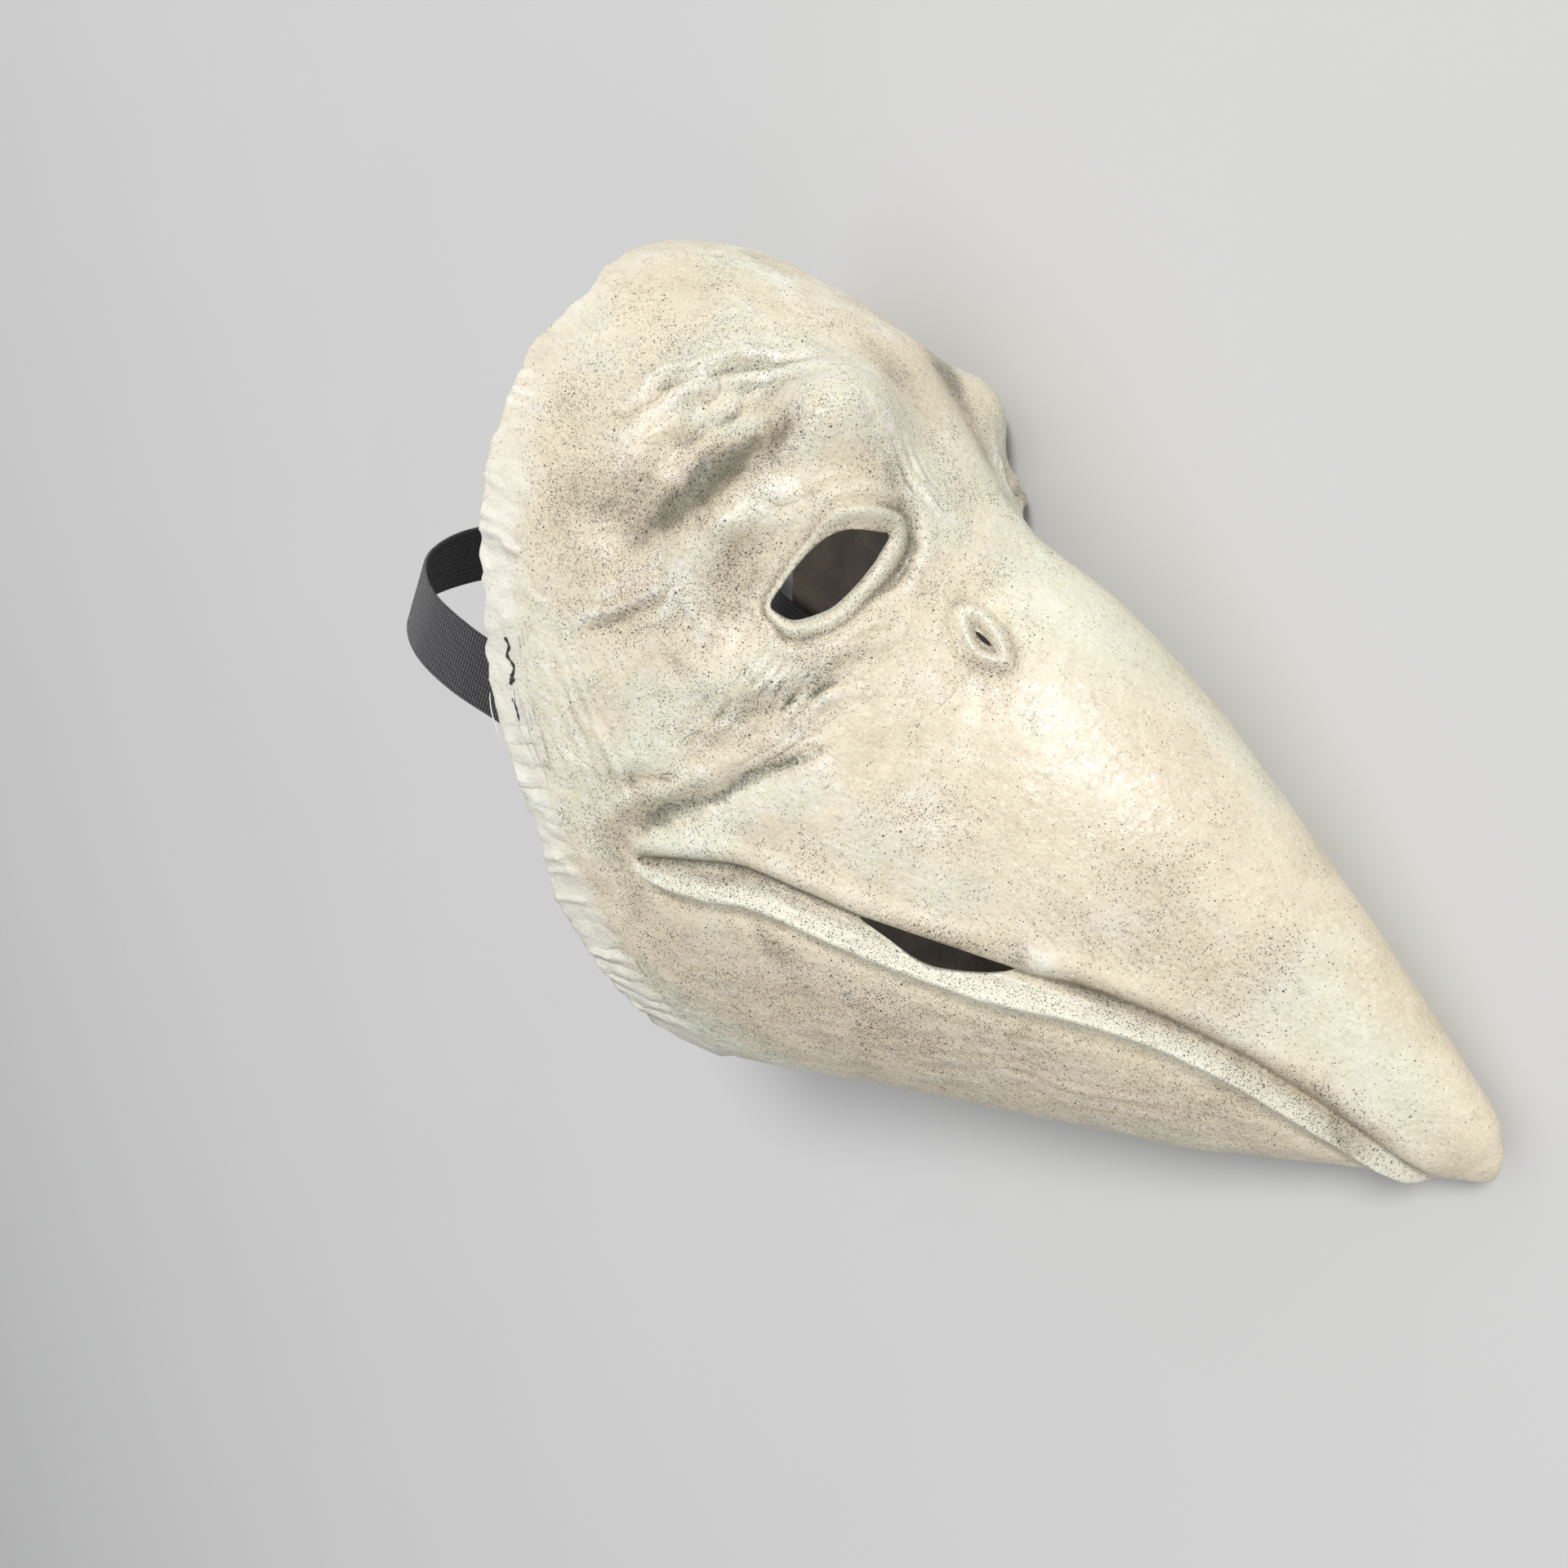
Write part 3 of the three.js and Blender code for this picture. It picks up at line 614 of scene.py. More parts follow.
def mouth_relief(u, t, points):
    """Groove under the upper beak, the lip band below it and the band's crest."""
    line = base_section(u, np.full_like(t, MOUTH_T))
    d = np.linalg.norm(points - line, axis=-1) * np.sign(t - MOUTH_T)
    crest = np.interp(u, *np.transpose(LIP_CREST))
    start = smooth_step(1.42, 1.62, u)
    fade = start * (1 - smooth_step(12.2, 13.0, u))
    narrow = np.clip(crest / 9, 0.4, 1)
    groove = -3.0 * bell(d - 1.2, 1.9) + 1.4 * bell(d + 4.5, 4.0)
    band = -1.3 * bell(d - crest * 0.5, crest * 0.26)
    ridge = 1.3 * bell(d - crest, 1.6 * narrow) + 0.8 * bell(d - crest, 3.4)
    ridge -= 0.9 * bell(d - crest - 5, 2.6)
    place = np.where(fade > 0.3, d / crest, 9.0)
    return (groove + (band + ridge) * smooth_step(1.42, 1.75, u)) * fade, place


def plane_frame(opening):
    """Centre, outward direction, and the directions forward and up of an opening's plane."""
    centre, (nx, ny), _ = opening
    n = unit(np.array([nx, ny, 0.0]))
    return np.array(centre, float), n, np.array([-n[1], n[0], 0.0]), np.array([0, 0, 1.0])


def smooth_outline(outline):
    """Closed smooth outline through the given points."""
    p = np.asarray(outline, float)
    out = []
    for i in range(len(p)):
        p0, p1, p2, p3 = p[i - 1], p[i], p[(i + 1) % len(p)], p[(i + 2) % len(p)]
        out += [curve_between(p0, p1, p2, p3, k / OUTLINE_STEPS) for k in range(OUTLINE_STEPS)]
    return np.array(out)


def outline_distance(flat, outline):
    """Distance to a closed outline, negative inside."""
    inside = np.zeros(len(flat), bool)
    for a, b in zip(outline, np.roll(outline, -1, 0)):
        run, rise = b - a
        crosses = (a[1] > flat[:, 1]) != (b[1] > flat[:, 1])
        inside ^= crosses & (flat[:, 0] < a[0] + (flat[:, 1] - a[1]) / (rise or 1e-9) * run)
    best = path_distance(flat, np.vstack([outline, outline[:1]]))
    return np.where(inside, -best, best)


def near_opening(points, opening, radius):
    """Which points are near an opening, and their places in its plane."""
    centre, _, along, up = plane_frame(opening)
    near = np.linalg.norm(points - centre, axis=-1) < radius
    rel = points[near] - centre
    return near, np.stack([rel @ along, rel @ up], -1)


def lid_relief(points):
    """The eye's rim, wider and higher below the eye and in front of it."""
    h = np.zeros(points.shape[:-1])
    near, flat = near_opening(points, EYE, EYE_REACH)
    d = np.maximum(outline_distance(flat, smooth_outline(EYE[2])), -0.4)
    lower = smooth_step(-5, 5, flat[:, 0] - flat[:, 1])
    front = smooth_step(4, 22, flat[:, 0] + flat[:, 1])
    thick = 0.52 + 0.34 * lower + 0.40 * front
    weight = 0.35 + 0.60 * lower + 0.55 * front
    for at, spread, height, vary in LID_PROFILE:
        h[near] += height * bell(d - at * thick, spread * thick) * (1 - vary + vary * weight)
    return h


def wing_relief(points):
    """The raised lip round the nostril."""
    h = np.zeros(points.shape[:-1])
    near, flat = near_opening(points, NOSTRIL, NOSTRIL_REACH)
    d = outline_distance(flat, smooth_outline(NOSTRIL_LIP))
    lip = 1.7 * bell(d + 0.3, 1.35) - 0.9 * bell(d - 2.8, 1.2)
    h[near] = lip - 0.9 * smooth_step(-1.4, -3.0, d)
    return h


def on_one_side(vectors, side=1):
    """Both halves laid over each other, with y positive, or negative for the right side."""
    out = vectors.copy()
    out[..., 1] = side * np.abs(out[..., 1])
    return out


# Grid of the casting

def eased(stops):
    """Values through (start, end, count) runs."""
    parts = [np.linspace(a, b, n, endpoint=False) for a, b, n in stops]
    return np.concatenate(parts + [[stops[-1][1]]])


ROWS_U = eased([(0, 0.7, 16), (0.7, 2.4, 38), (2.4, 7.2, 112), (7.2, 11.5, 52), (11.5, 13.3, 24)])
ROWS_T = eased([(0, 0.12, 14), (0.12, 0.43, 112), (0.43, 0.565, 30), (0.565, 0.665, 40),
                (0.665, 0.80, 28), (0.80, 1, 12)])
FAR_ROWS_T = eased([(0, 0.12, 8), (0.12, 0.43, 34), (0.43, 0.56, 12), (0.56, 0.68, 22),
                    (0.68, 1, 16)])
TORN_ROWS = 14
INNER_RISE = 1.5
INNER_ROW_STEP = 3
EDGE_PLACES = (0.2, 0.5, 0.8)
EDGE_SWELL = 0.75
# Fixed level of painted shade on the tip rings.
TIP_SHADE = 0.3
# Painted shade of the hollows: its base level, and how much lying below near and farther neighbours
# adds.
SHADE_LEVEL = 0.33
SHADE_NEAR = 0.40
SHADE_FAR = 0.20
NEAR_STEPS = 5
FAR_STEPS = 24
RIM_WIDTH = 13.5
# Noises on the surface: strength, size of a cell in millimetres, seed.
RIM_LINE = [(2.2, 9, 9), (1.3, 3.5, 10)]
CRUMPLE = [(0.55, 4.2, 11), (0.3, 2.1, 12)]
SLUMP = [(0.5, 30, 4), (0.3, 11, 5)]
SKIN = [(0.10, 2.4, 7)]
TORN_EDGE = [(1.2, 9, 15), (0.9, 3.3, 16)]
JAW_LINE = 0.30
JAW_STRETCH = (0.28, 1, 1)
LID_SKIN = 0.35
STATION_STEP = 21.5
PUCKER_SEED = 21


def rim_distance(u):
    """Rough distance from the rim along the casting, in millimetres."""
    return u * STATION_STEP


def rim_relief(u, run, seed):
    """Puckers across the edge band, at uneven steps round the rim."""
    d = rim_distance(u)
    picks = np.random.default_rng(seed)
    total = np.zeros(np.broadcast(u, run).shape)
    at = 0.0
    while at < run.max():
        width, height = picks.uniform(0.9, 2.0), picks.uniform(0.35, 1.5)
        reach = picks.uniform(5, 12.5)
        lean = picks.uniform(-0.35, 0.35)
        fade = smooth_step(-0.5, 2.0, d) * 0.6 + 0.4
        fade = fade * (1 - smooth_step(reach - 2.5, reach, d))
        total += height * bell(run - at - lean * d, width) * fade
        at += picks.uniform(3.0, 13.0)
    return total


def half_grid(rows_t):
    """Base points and normals of one half, as the right side."""
    u, t = np.meshgrid(ROWS_U, rows_t, indexing="ij")
    normal = section_normal(u, t)
    normal[:, (0, -1)] *= (1, 0, 1)
    return u, t, base_section(u, t), unit(normal)


def build_grid():
    """The whole ring: the right side from top to bottom, then the coarser left side back up."""
    flips = (1, 1, (1, -1, 1), (1, -1, 1))
    halves = zip(half_grid(ROWS_T), half_grid(FAR_ROWS_T), flips)
    return [np.concatenate([near, (far * flip)[:, -2:0:-1]], 1) for near, far, flip in halves]


def pooled(field, steps, pool):
    """Each value pooled with its neighbours, wrapped round the ring and held at the ends."""
    for _ in range(steps):
        field = pool(np.roll(field, 1, 1), field, np.roll(field, -1, 1))
        padded = np.vstack([field[:1], field, field[-1:]])
        field = pool(padded[:-2], padded[1:-1], padded[2:])
    return field


def mean(a, b, c):
    return (a + b + c) / 3


def least(a, b, c):
    return np.minimum(np.minimum(a, b), c)


def shell_fields():
    """Every height on the casting's outside, and the fields its paint follows."""
    u, t, points, normals = build_grid()
    across = on_one_side(points, -1)
    broad = sum(marks(on_one_side(points), BROAD_FORMS))
    lips, lip_place = mouth_relief(u, t, across)
    lid, wing = lid_relief(across), wing_relief(across)
    quiet_eye = np.exp(-np.maximum(np.abs(lid), np.abs(wing)) * 1.2)
    wobble = points + 1.6 * lattice_shift(points, 14, 1) + 0.8 * lattice_shift(points, 4.5, 31)
    wobble = on_one_side(wobble)
    outward = on_one_side(normals)
    folds = sum(fold_height(wobble, outward, *fold) for fold in FOLDS)
    head = 1 - smooth_step(128, 175, points[..., 0])
    uneven = rim_distance(u) + layered(points, RIM_LINE)
    rim = 1 - smooth_step(RIM_WIDTH - 5, RIM_WIDTH + 3, uneven)
    crown = smooth_step(70, 108, points[..., 2])
    run = running_length(points[0])[None, :]
    pucker = rim_relief(u, run, PUCKER_SEED)
    creases = -np.abs(lattice_noise(wobble, 8.5, 6)) * 0.5 * head
    jaw = smooth_step(1.15, 1.9, lip_place) * smooth_step(90, 130, points[..., 0])
    lines = JAW_LINE * jaw * lattice_noise(points * JAW_STRETCH, 1.9, 8)
    lids = np.clip((lid + wing) / 2, 0, 1) * LID_SKIN * lattice_noise(points, 1.8, 13)
    plain = layered(points, SLUMP) + layered(points, SKIN) + lines
    fine = folds + creases * quiet_eye * (1 - rim) + plain * quiet_eye + lids
    fine += pucker * (1 - 0.45 * crown) + layered(points, CRUMPLE) * rim * (1 - 0.6 * crown)
    fade_tip = 1 - smooth_step(12.0, 13.2, u) * 0.9
    crumpled = rim * (1 - 0.8 * crown)
    quiet = quiet_eye * fade_tip * np.exp(-np.abs(lips))
    phase, folded, pleats = wrinkle_field(points, outward, crumpled, run, quiet)
    height = broad + (lips + lid + wing + fine) * fade_tip - pleats
    fields = dict(rim=crumpled, lip=lip_place, lid=lid + wing, head=head * quiet_eye * (1 - rim))
    fields.update(phase=phase, folded=folded)
    return u, points, normals, broad, height, fields


def shell_paint(points, height, fields):
    """Two sets of four numbers for each point.

    The first: painted shade of the hollows (0 high, 1 deep), rim, pale lip and lids, sprayed
    stains, which may go over 1.
    The second: 1 for the outside, pooled glaze, pale paint, head.
    """
    # Painted shade: higher where the surface lies below the mean of its neighbours, as in creases
    # and hollows.
    near = pooled(height, NEAR_STEPS, mean) - height
    far = pooled(height, FAR_STEPS, mean) - height
    hollow_shade = np.clip(SHADE_LEVEL + SHADE_NEAR * near + SHADE_FAR * far, 0, 1)
    lip = fields["lip"]
    band = smooth_step(0.28, 0.5, lip) * (1 - smooth_step(1.1, 1.45, lip))
    lid = np.clip(fields["lid"] / 2.0, 0, 1)
    soft = on_one_side(points + 5 * lattice_shift(points, 16, 41))
    spray = np.max(marks(soft, WASHES), axis=0)
    pale = np.max(marks(soft, PALES), axis=0)
    gloss = np.clip(sum(marks(soft, GLOSSES)), 0, 1)
    paint = np.stack([hollow_shade, fields["rim"], np.maximum(band, lid * 0.8), spray], -1)
    return paint, np.stack([np.ones_like(gloss), gloss, pale, fields["head"]], -1)


def wrinkle_field(points, normals, rim, run, quiet):
    """Phase across the strongest wrinkles, their strength, and how far the mesh sinks there."""
    face = on_one_side(points)
    outward = normals * np.where(points[..., 1:2] > 0, (1, 1, 1), (1, -1, 1))
    phase = run / RIM_PITCH * np.ones_like(rim)
    best = rim * (0.3 + 0.55 * smooth_step(35, -15, points[..., 2]))
    second = np.zeros_like(best)
    depth = np.full_like(best, RIM_DEPTH)
    for path, reach, direction, pitch, strength in WRINKLES:
        weight = strength * bell(path_distance(face, path), reach) * (1 - rim)
        middle = np.mean(path, axis=0)
        near = weight > 0.02
        out = (outward * weight[..., None])[near].mean(0)
        across = unit(np.cross(np.array(direction, float), out))
        second = np.where(weight > best, best, np.maximum(second, weight))
        phase = np.where(weight > best, (face - middle) @ across / pitch, phase)
        depth = np.where(weight > best, WRINKLE_DEPTH * (pitch > MESHED_PITCH), depth)
        best = np.maximum(best, weight)
    phase = phase + lattice_noise(points, 18, 51) + 0.25 * lattice_noise(points, 6, 52)
    patches = smooth_step(-0.4, 0.25, lattice_noise(points, 12, 53))
    folded = np.clip(best - second, 0, 1) * quiet * patches
    finely_meshed = smooth_step(8, -8, points[..., 1])
    return phase, folded, depth * folded * finely_meshed * np.sin(np.pi * phase) ** 2


def ring_faces(first, second, count):
    """Faces between two rings of the same count of points, given by their first points."""
    j = np.arange(count)
    k = (j + 1) % count
    return np.stack([first + j, first + k, second + k, second + j], -1)


def run_faces(start, count, steps, inward=False):
    """Faces along rings that follow each other in the list of points."""
    pairs = [(start + i * count, start + (i + 1) * count) for i in range(steps)]
    return [ring_faces(*(pair[::-1] if inward else pair), count) for pair in pairs]


def tip_rings(outer):
    """Rings that round the beak off, leaving the last row in its own direction."""
    tip, last = np.array(TIP), outer[-1]
    run = unit(last - outer[-3])
    axis = unit(tip - last.mean(0))
    back = last - tip
    reach = np.linalg.norm(back, axis=-1, keepdims=True)
    flat = back - (back @ axis)[:, None] * axis
    first, second = last + run * reach * 0.40, tip + flat * 0.55
    return [
        last * (1 - k) ** 3 + first * 3 * (1 - k) ** 2 * k + second * 3 * (1 - k) * k ** 2
        + tip * k ** 3 for k in np.linspace(0, 1, TIP_RINGS + 2)[1:-1]
    ]


def make_shell():
    """The casting: outside rows, tip rings, tip, edge rings, then a coarser inside with its end."""
    u, points, normals, broad, height, fields = shell_fields()
    paint, cover = shell_paint(points, height, fields)
    outer = points + normals * height[..., None]
    torn = layered(points[0], TORN_EDGE)
    away = unit(outer[0] - outer[2])
    for row in range(TORN_ROWS):
        outer[row] += away * (torn * (1 - row / TORN_ROWS) ** 2)[:, None]
    inner_height = np.minimum(pooled(height, 3, least), broad + INNER_RISE) - WALL
    inner = (points + normals * inner_height[..., None])[::INNER_ROW_STEP]
    inner = inner[ROWS_U[::INNER_ROW_STEP] <= INNER_LAST]
    rows, ring = outer.shape[:2]
    edge = []
    for k in EDGE_PLACES:
        lip = outer[0] + (inner[0] - outer[0]) * k
        edge.append(lip + away * (EDGE_SWELL * math.sin(math.pi * k)))
    inner[0] += away * 0.1
    inner = inner[:, ::2]
    half = ring // 2
    cap = tip_rings(outer)
    blocks = [outer.reshape(-1, 3), *cap, [TIP], *edge, inner.reshape(-1, 3)]
    verts = np.vstack(blocks + [inner[-1].mean(0) + (1.5, 0, -1)])
    end = len(verts) - 1
    cap_start = rows * ring
    tip = cap_start + len(cap) * ring
    edge_start = tip + 1
    last_edge = edge_start + (len(edge) - 1) * ring
    inner_start = last_edge + ring
    deep = end - half
    faces = run_faces(0, ring, rows - 1 + len(cap))
    faces.append(ring_faces(edge_start, 0, ring))
    faces += run_faces(edge_start, ring, len(edge) - 1, inward=True)
    faces += run_faces(inner_start, half, len(inner) - 1, inward=True)
    fans = [(tip - ring + j, tip - ring + (j + 1) % ring, tip) for j in range(ring)]
    for j in range(half):
        a, b = inner_start + j, inner_start + (j + 1) % half
        middle = last_edge + 2 * j + 1
        fans += [(a, b, middle), (a, middle, middle - 1)]
        fans.append((b, last_edge + (2 * j + 2) % ring, middle))
    fans += [(deep + (j + 1) % half, deep + j, end) for j in range(half)]
    resting = to_row(verts)
    resting[:, 2] = np.maximum(resting[:, 2], 0)
    shell = add_mesh("mask_shell_cast", resting, list(map(tuple, np.vstack(faces))) + fans)
    # The first colour layer holds the painted shade of the hollows, along with the rim, pale lip
    # and lids, and sprayed marks.
    shade_and_wash, cast, creased = np.zeros((3, len(verts), 4))
    shade_and_wash[:cap_start] = paint.reshape(-1, 4)
    # The tip rings get a fixed painted shade.
    shade_and_wash[cap_start:edge_start, 0] = TIP_SHADE
    shade_and_wash[edge_start:inner_start, 1] = 1
    cast[:inner_start, 0] = 1
    cast[:cap_start] = cover.reshape(-1, 4)
    creased[:cap_start, :2] = np.stack([fields["phase"], fields["folded"]], -1).reshape(-1, 2)
    corner = loop_points(shell)
    for name, values in (("shade_and_wash", shade_and_wash), ("cast", cast), ("creased", creased)):
        layer = shell.data.color_attributes.new(name, "FLOAT_COLOR", "CORNER")
        layer.data.foreach_set("color", values[corner].astype(np.float32).ravel())
    return shell, dict(u=u, outer=outer, normals=normals)


def opening_cutter(name, opening, side):
    """A block through the wall with the outline of an opening; the slit's block widens inside."""
    centre, n, along, up = plane_frame(opening)
    outline = smooth_outline(opening[2])
    x, y = outline.T
    if np.sum(x * np.roll(y, -1) - np.roll(x, -1) * y) < 0:
        outline = outline[::-1]
    points = []
    flare = SLIT_FLARE if opening is SLIT else 1.0
    for depth, grow in zip(CUT_DEPTHS, (flare, 1.0, 1.0)):
        for a, b in outline * grow:
            points.append((centre + along * a + up * b + n * depth) * (1, side, 1))
    sides, ends = tube_faces(3, len(outline))
    faces = ends + sides
    if side < 0:
        faces = [f[::-1] for f in faces]
    return add_mesh(name, to_row(points), faces, smooth=False)


def drop_needless_points(mesh):
    """Joins edges where only two meet, so that no two thin triangles lie on each other."""
    work = bmesh.new()
    work.from_mesh(mesh)
    bmesh.ops.dissolve_verts(work, verts=[v for v in work.verts if len(v.link_edges) == 2])
    work.to_mesh(mesh)
    work.free()


def cut_openings(shell):
    group = bpy.data.collections.new("cutters")
    bpy.context.scene.collection.children.link(group)
    for name, opening in (("eye", EYE), ("nostril", NOSTRIL), ("slit", SLIT)):
        for side in (1, -1):
            group.objects.link(opening_cutter(f"cutter_{name}_{side}", opening, side))
    cut = shell.modifiers.new("openings", "BOOLEAN")
    cut.operation = "DIFFERENCE"
    cut.solver = "EXACT"
    cut.operand_type = "COLLECTION"
    cut.collection = group
    graph = bpy.context.evaluated_depsgraph_get()
    mesh = bpy.data.meshes.new_from_object(shell.evaluated_get(graph))
    shell.modifiers.clear()
    old = shell.data
    shell.data = mesh
    mesh.name = "mask_shell_cast"
    drop_needless_points(mesh)
    for data in [old] + [cutter.data for cutter in group.objects]:
        bpy.data.meshes.remove(data)
    bpy.data.collections.remove(group)


shell, casting = make_shell()
cut_openings(shell)
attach(shell, "root")
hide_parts("mask_shell")


# Stitches, threads and tab

STITCH_SEED = 3
STITCH_TOP = 41.0
STITCH_END = 17.0
STITCH_INSET = 9.3
STITCH_LIFT = 0.35
STITCH_RADIUS = 0.48
STITCH_TWIST = 0.5
UPPER_SHARE = 0.66
KNOT_RADIUS = 0.55
KNOT_TURNS = [(0, 0, 1.5), (.5, 0, -.2), (-.5, 0, -1.2), (.3, 0, .8)]
TAIL_RADIUS = 0.30
LOOSE_RADIUS = 0.16
# Loose threads: height, distance from the rim, lift off the surface.
LOOSE_THREADS = [
    [(27, 10.2, .4), (22, 11.4, 1.6), (17, 11.0, 1.2), (14.5, 12.4, .5), (16.5, 13.6, .9),
     (21, 13.0, 1.4)],
    [(26.5, 9.6, .4), (21, 9.4, 1.3), (15, 9.8, 1.5), (9, 10.8, .6), (4, 11.4, .4)],
    [(26, 10.6, .4), (22, 13.8, 1.3), (19, 14.6, 1.1), (17, 15.8, .5)],
    [(24, 11.0, .4), (12, 12.6, 1.0), (2, 13.2, .5), (-5, 13.6, .4), (-9, 15.2, .8),
     (-14, 12.4, .5)],
    [(-5, 13.4, .5), (-9, 14.6, 1.0), (-12, 16.4, .6), (-8, 16.8, .5)],
]
# Torn tab: height, distance from the rim, lift, width.
FLAP_ROWS = [
    (25, 1.2, .8, 0.6), (21, 0.4, 1.3, 1.6), (17, 0.2, 1.7, 2.0), (13, 0.5, 1.6, 1.7),
    (10.5, 1.0, 1.2, 0.5),
]
FLAP_HALF_THICK = 0.25
FLAP_OUT = (-1.2, 0, 0)


def rim_place(z, inset, lift, side=1):
    """A point off the outside at height z, inset from the rim."""
    row = int(np.argmin(np.abs(rim_distance(casting["u"][:, 0]) - inset)))
    half = len(ROWS_T)
    line, normals = casting["outer"][row, :half], casting["normals"][row, :half]
    order = np.argsort(line[:, 2])
    at, n = [
        np.array([np.interp(z, line[order, 2], values[order, k]) for k in range(3)])
        for values in (line, normals)
    ]
    return (at + unit(n) * lift) * (1, side, 1)


def add_thread(name, points, radius, sides=6, twist=0.0):
    """A closed round strand through the given face-frame points."""
    points = smooth_path(points, max(12, len(points) * 7))[0]
    tangent = unit(np.gradient(points, axis=0))
    side = np.cross(tangent[0], (0.3, 0.5, 0.8))
    verts = []
    for i, (p, run) in enumerate(zip(points, tangent)):
        side = unit(side - run * (side @ run))
        other = np.cross(run, side)
        end = i in (0, len(points) - 1)
        thin = radius * (0.75 + 0.25 * math.sin(i * 0.9)) * (0.55 if end else 1)
        for k in range(sides):
            a = 2 * math.pi * k / sides + twist * i
            verts.append(p + (side * math.cos(a) + other * math.sin(a)) * thin)
    around, ends = tube_faces(len(points), sides)
    strand = add_mesh(name, to_row(verts), around + ends)
    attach(strand, "root")
    return strand


def stitch_line(side, seed):
    """Zigzag hand stitching that holds the elastic through the rim."""
    picks = random.Random(seed)
    points = []
    z = STITCH_TOP
    while z > STITCH_END:
        swing = 0.45 if len(points) % 2 else -0.35
        inset = STITCH_INSET + swing + picks.uniform(-0.3, 0.3)
        points.append(rim_place(z, inset, STITCH_LIFT, side))
        z -= picks.uniform(2.4, 4.0)
    return points


def make_stitches():
    black, white = [], []
    for side, tag in ((1, "right"), (-1, "left")):
        line = stitch_line(side, STITCH_SEED + side)
        upper = line[:max(5, int(len(line) * UPPER_SHARE))]
        knot = [upper[-1] + np.array(turn) for turn in KNOT_TURNS]
        for part, points, radius in (
            ("upper", upper, STITCH_RADIUS),
            ("knot", knot, KNOT_RADIUS),
            ("lower", line[-3:], TAIL_RADIUS),
        ):
            name = f"stitch_{tag}_{part}"
            black.append(add_thread(name, points, radius, twist=STITCH_TWIST))
    for k, loop in enumerate(LOOSE_THREADS):
        points = [rim_place(*stop) for stop in loop]
        white.append(add_thread(f"loose_thread_{k}", points, LOOSE_RADIUS, sides=5))
    return black, white


def make_flap():
    """Small torn tongue of the rim band that hangs past the edge."""
    verts = []
    for z, inset, lift, width in FLAP_ROWS:
        for lean, thick in ((-1, 0), (0, 1), (1, 0), (0, -1)):
            place = inset + 0.5 + lean * width * 0.5
            verts.append(rim_place(z, place, lift + thick * FLAP_HALF_THICK) + FLAP_OUT)
    sides, ends = tube_faces(len(FLAP_ROWS), 4, flipped=True)
    flap = add_mesh("rim_flap", to_row(verts), sides + ends)
    smooth = flap.modifiers.new("round", "SUBSURF")
    smooth.levels = smooth.render_levels = 2
    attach(flap, "root")
    return flap


black_threads, white_threads = make_stitches()
flap = make_flap()


# Materials

class Value:
    """One output of a node, ready for sums."""

    def __init__(self, nodes, socket):
        self.nodes, self.socket = nodes, socket

    def __add__(self, other):
        return self.nodes.math("ADD", self, other)

    def __mul__(self, other):
        return self.nodes.math("MULTIPLY", self, other)

    def __sub__(self, other):
        return self.nodes.math("SUBTRACT", self, other)

    def __rsub__(self, other):
        return self.nodes.math("SUBTRACT", other, self)


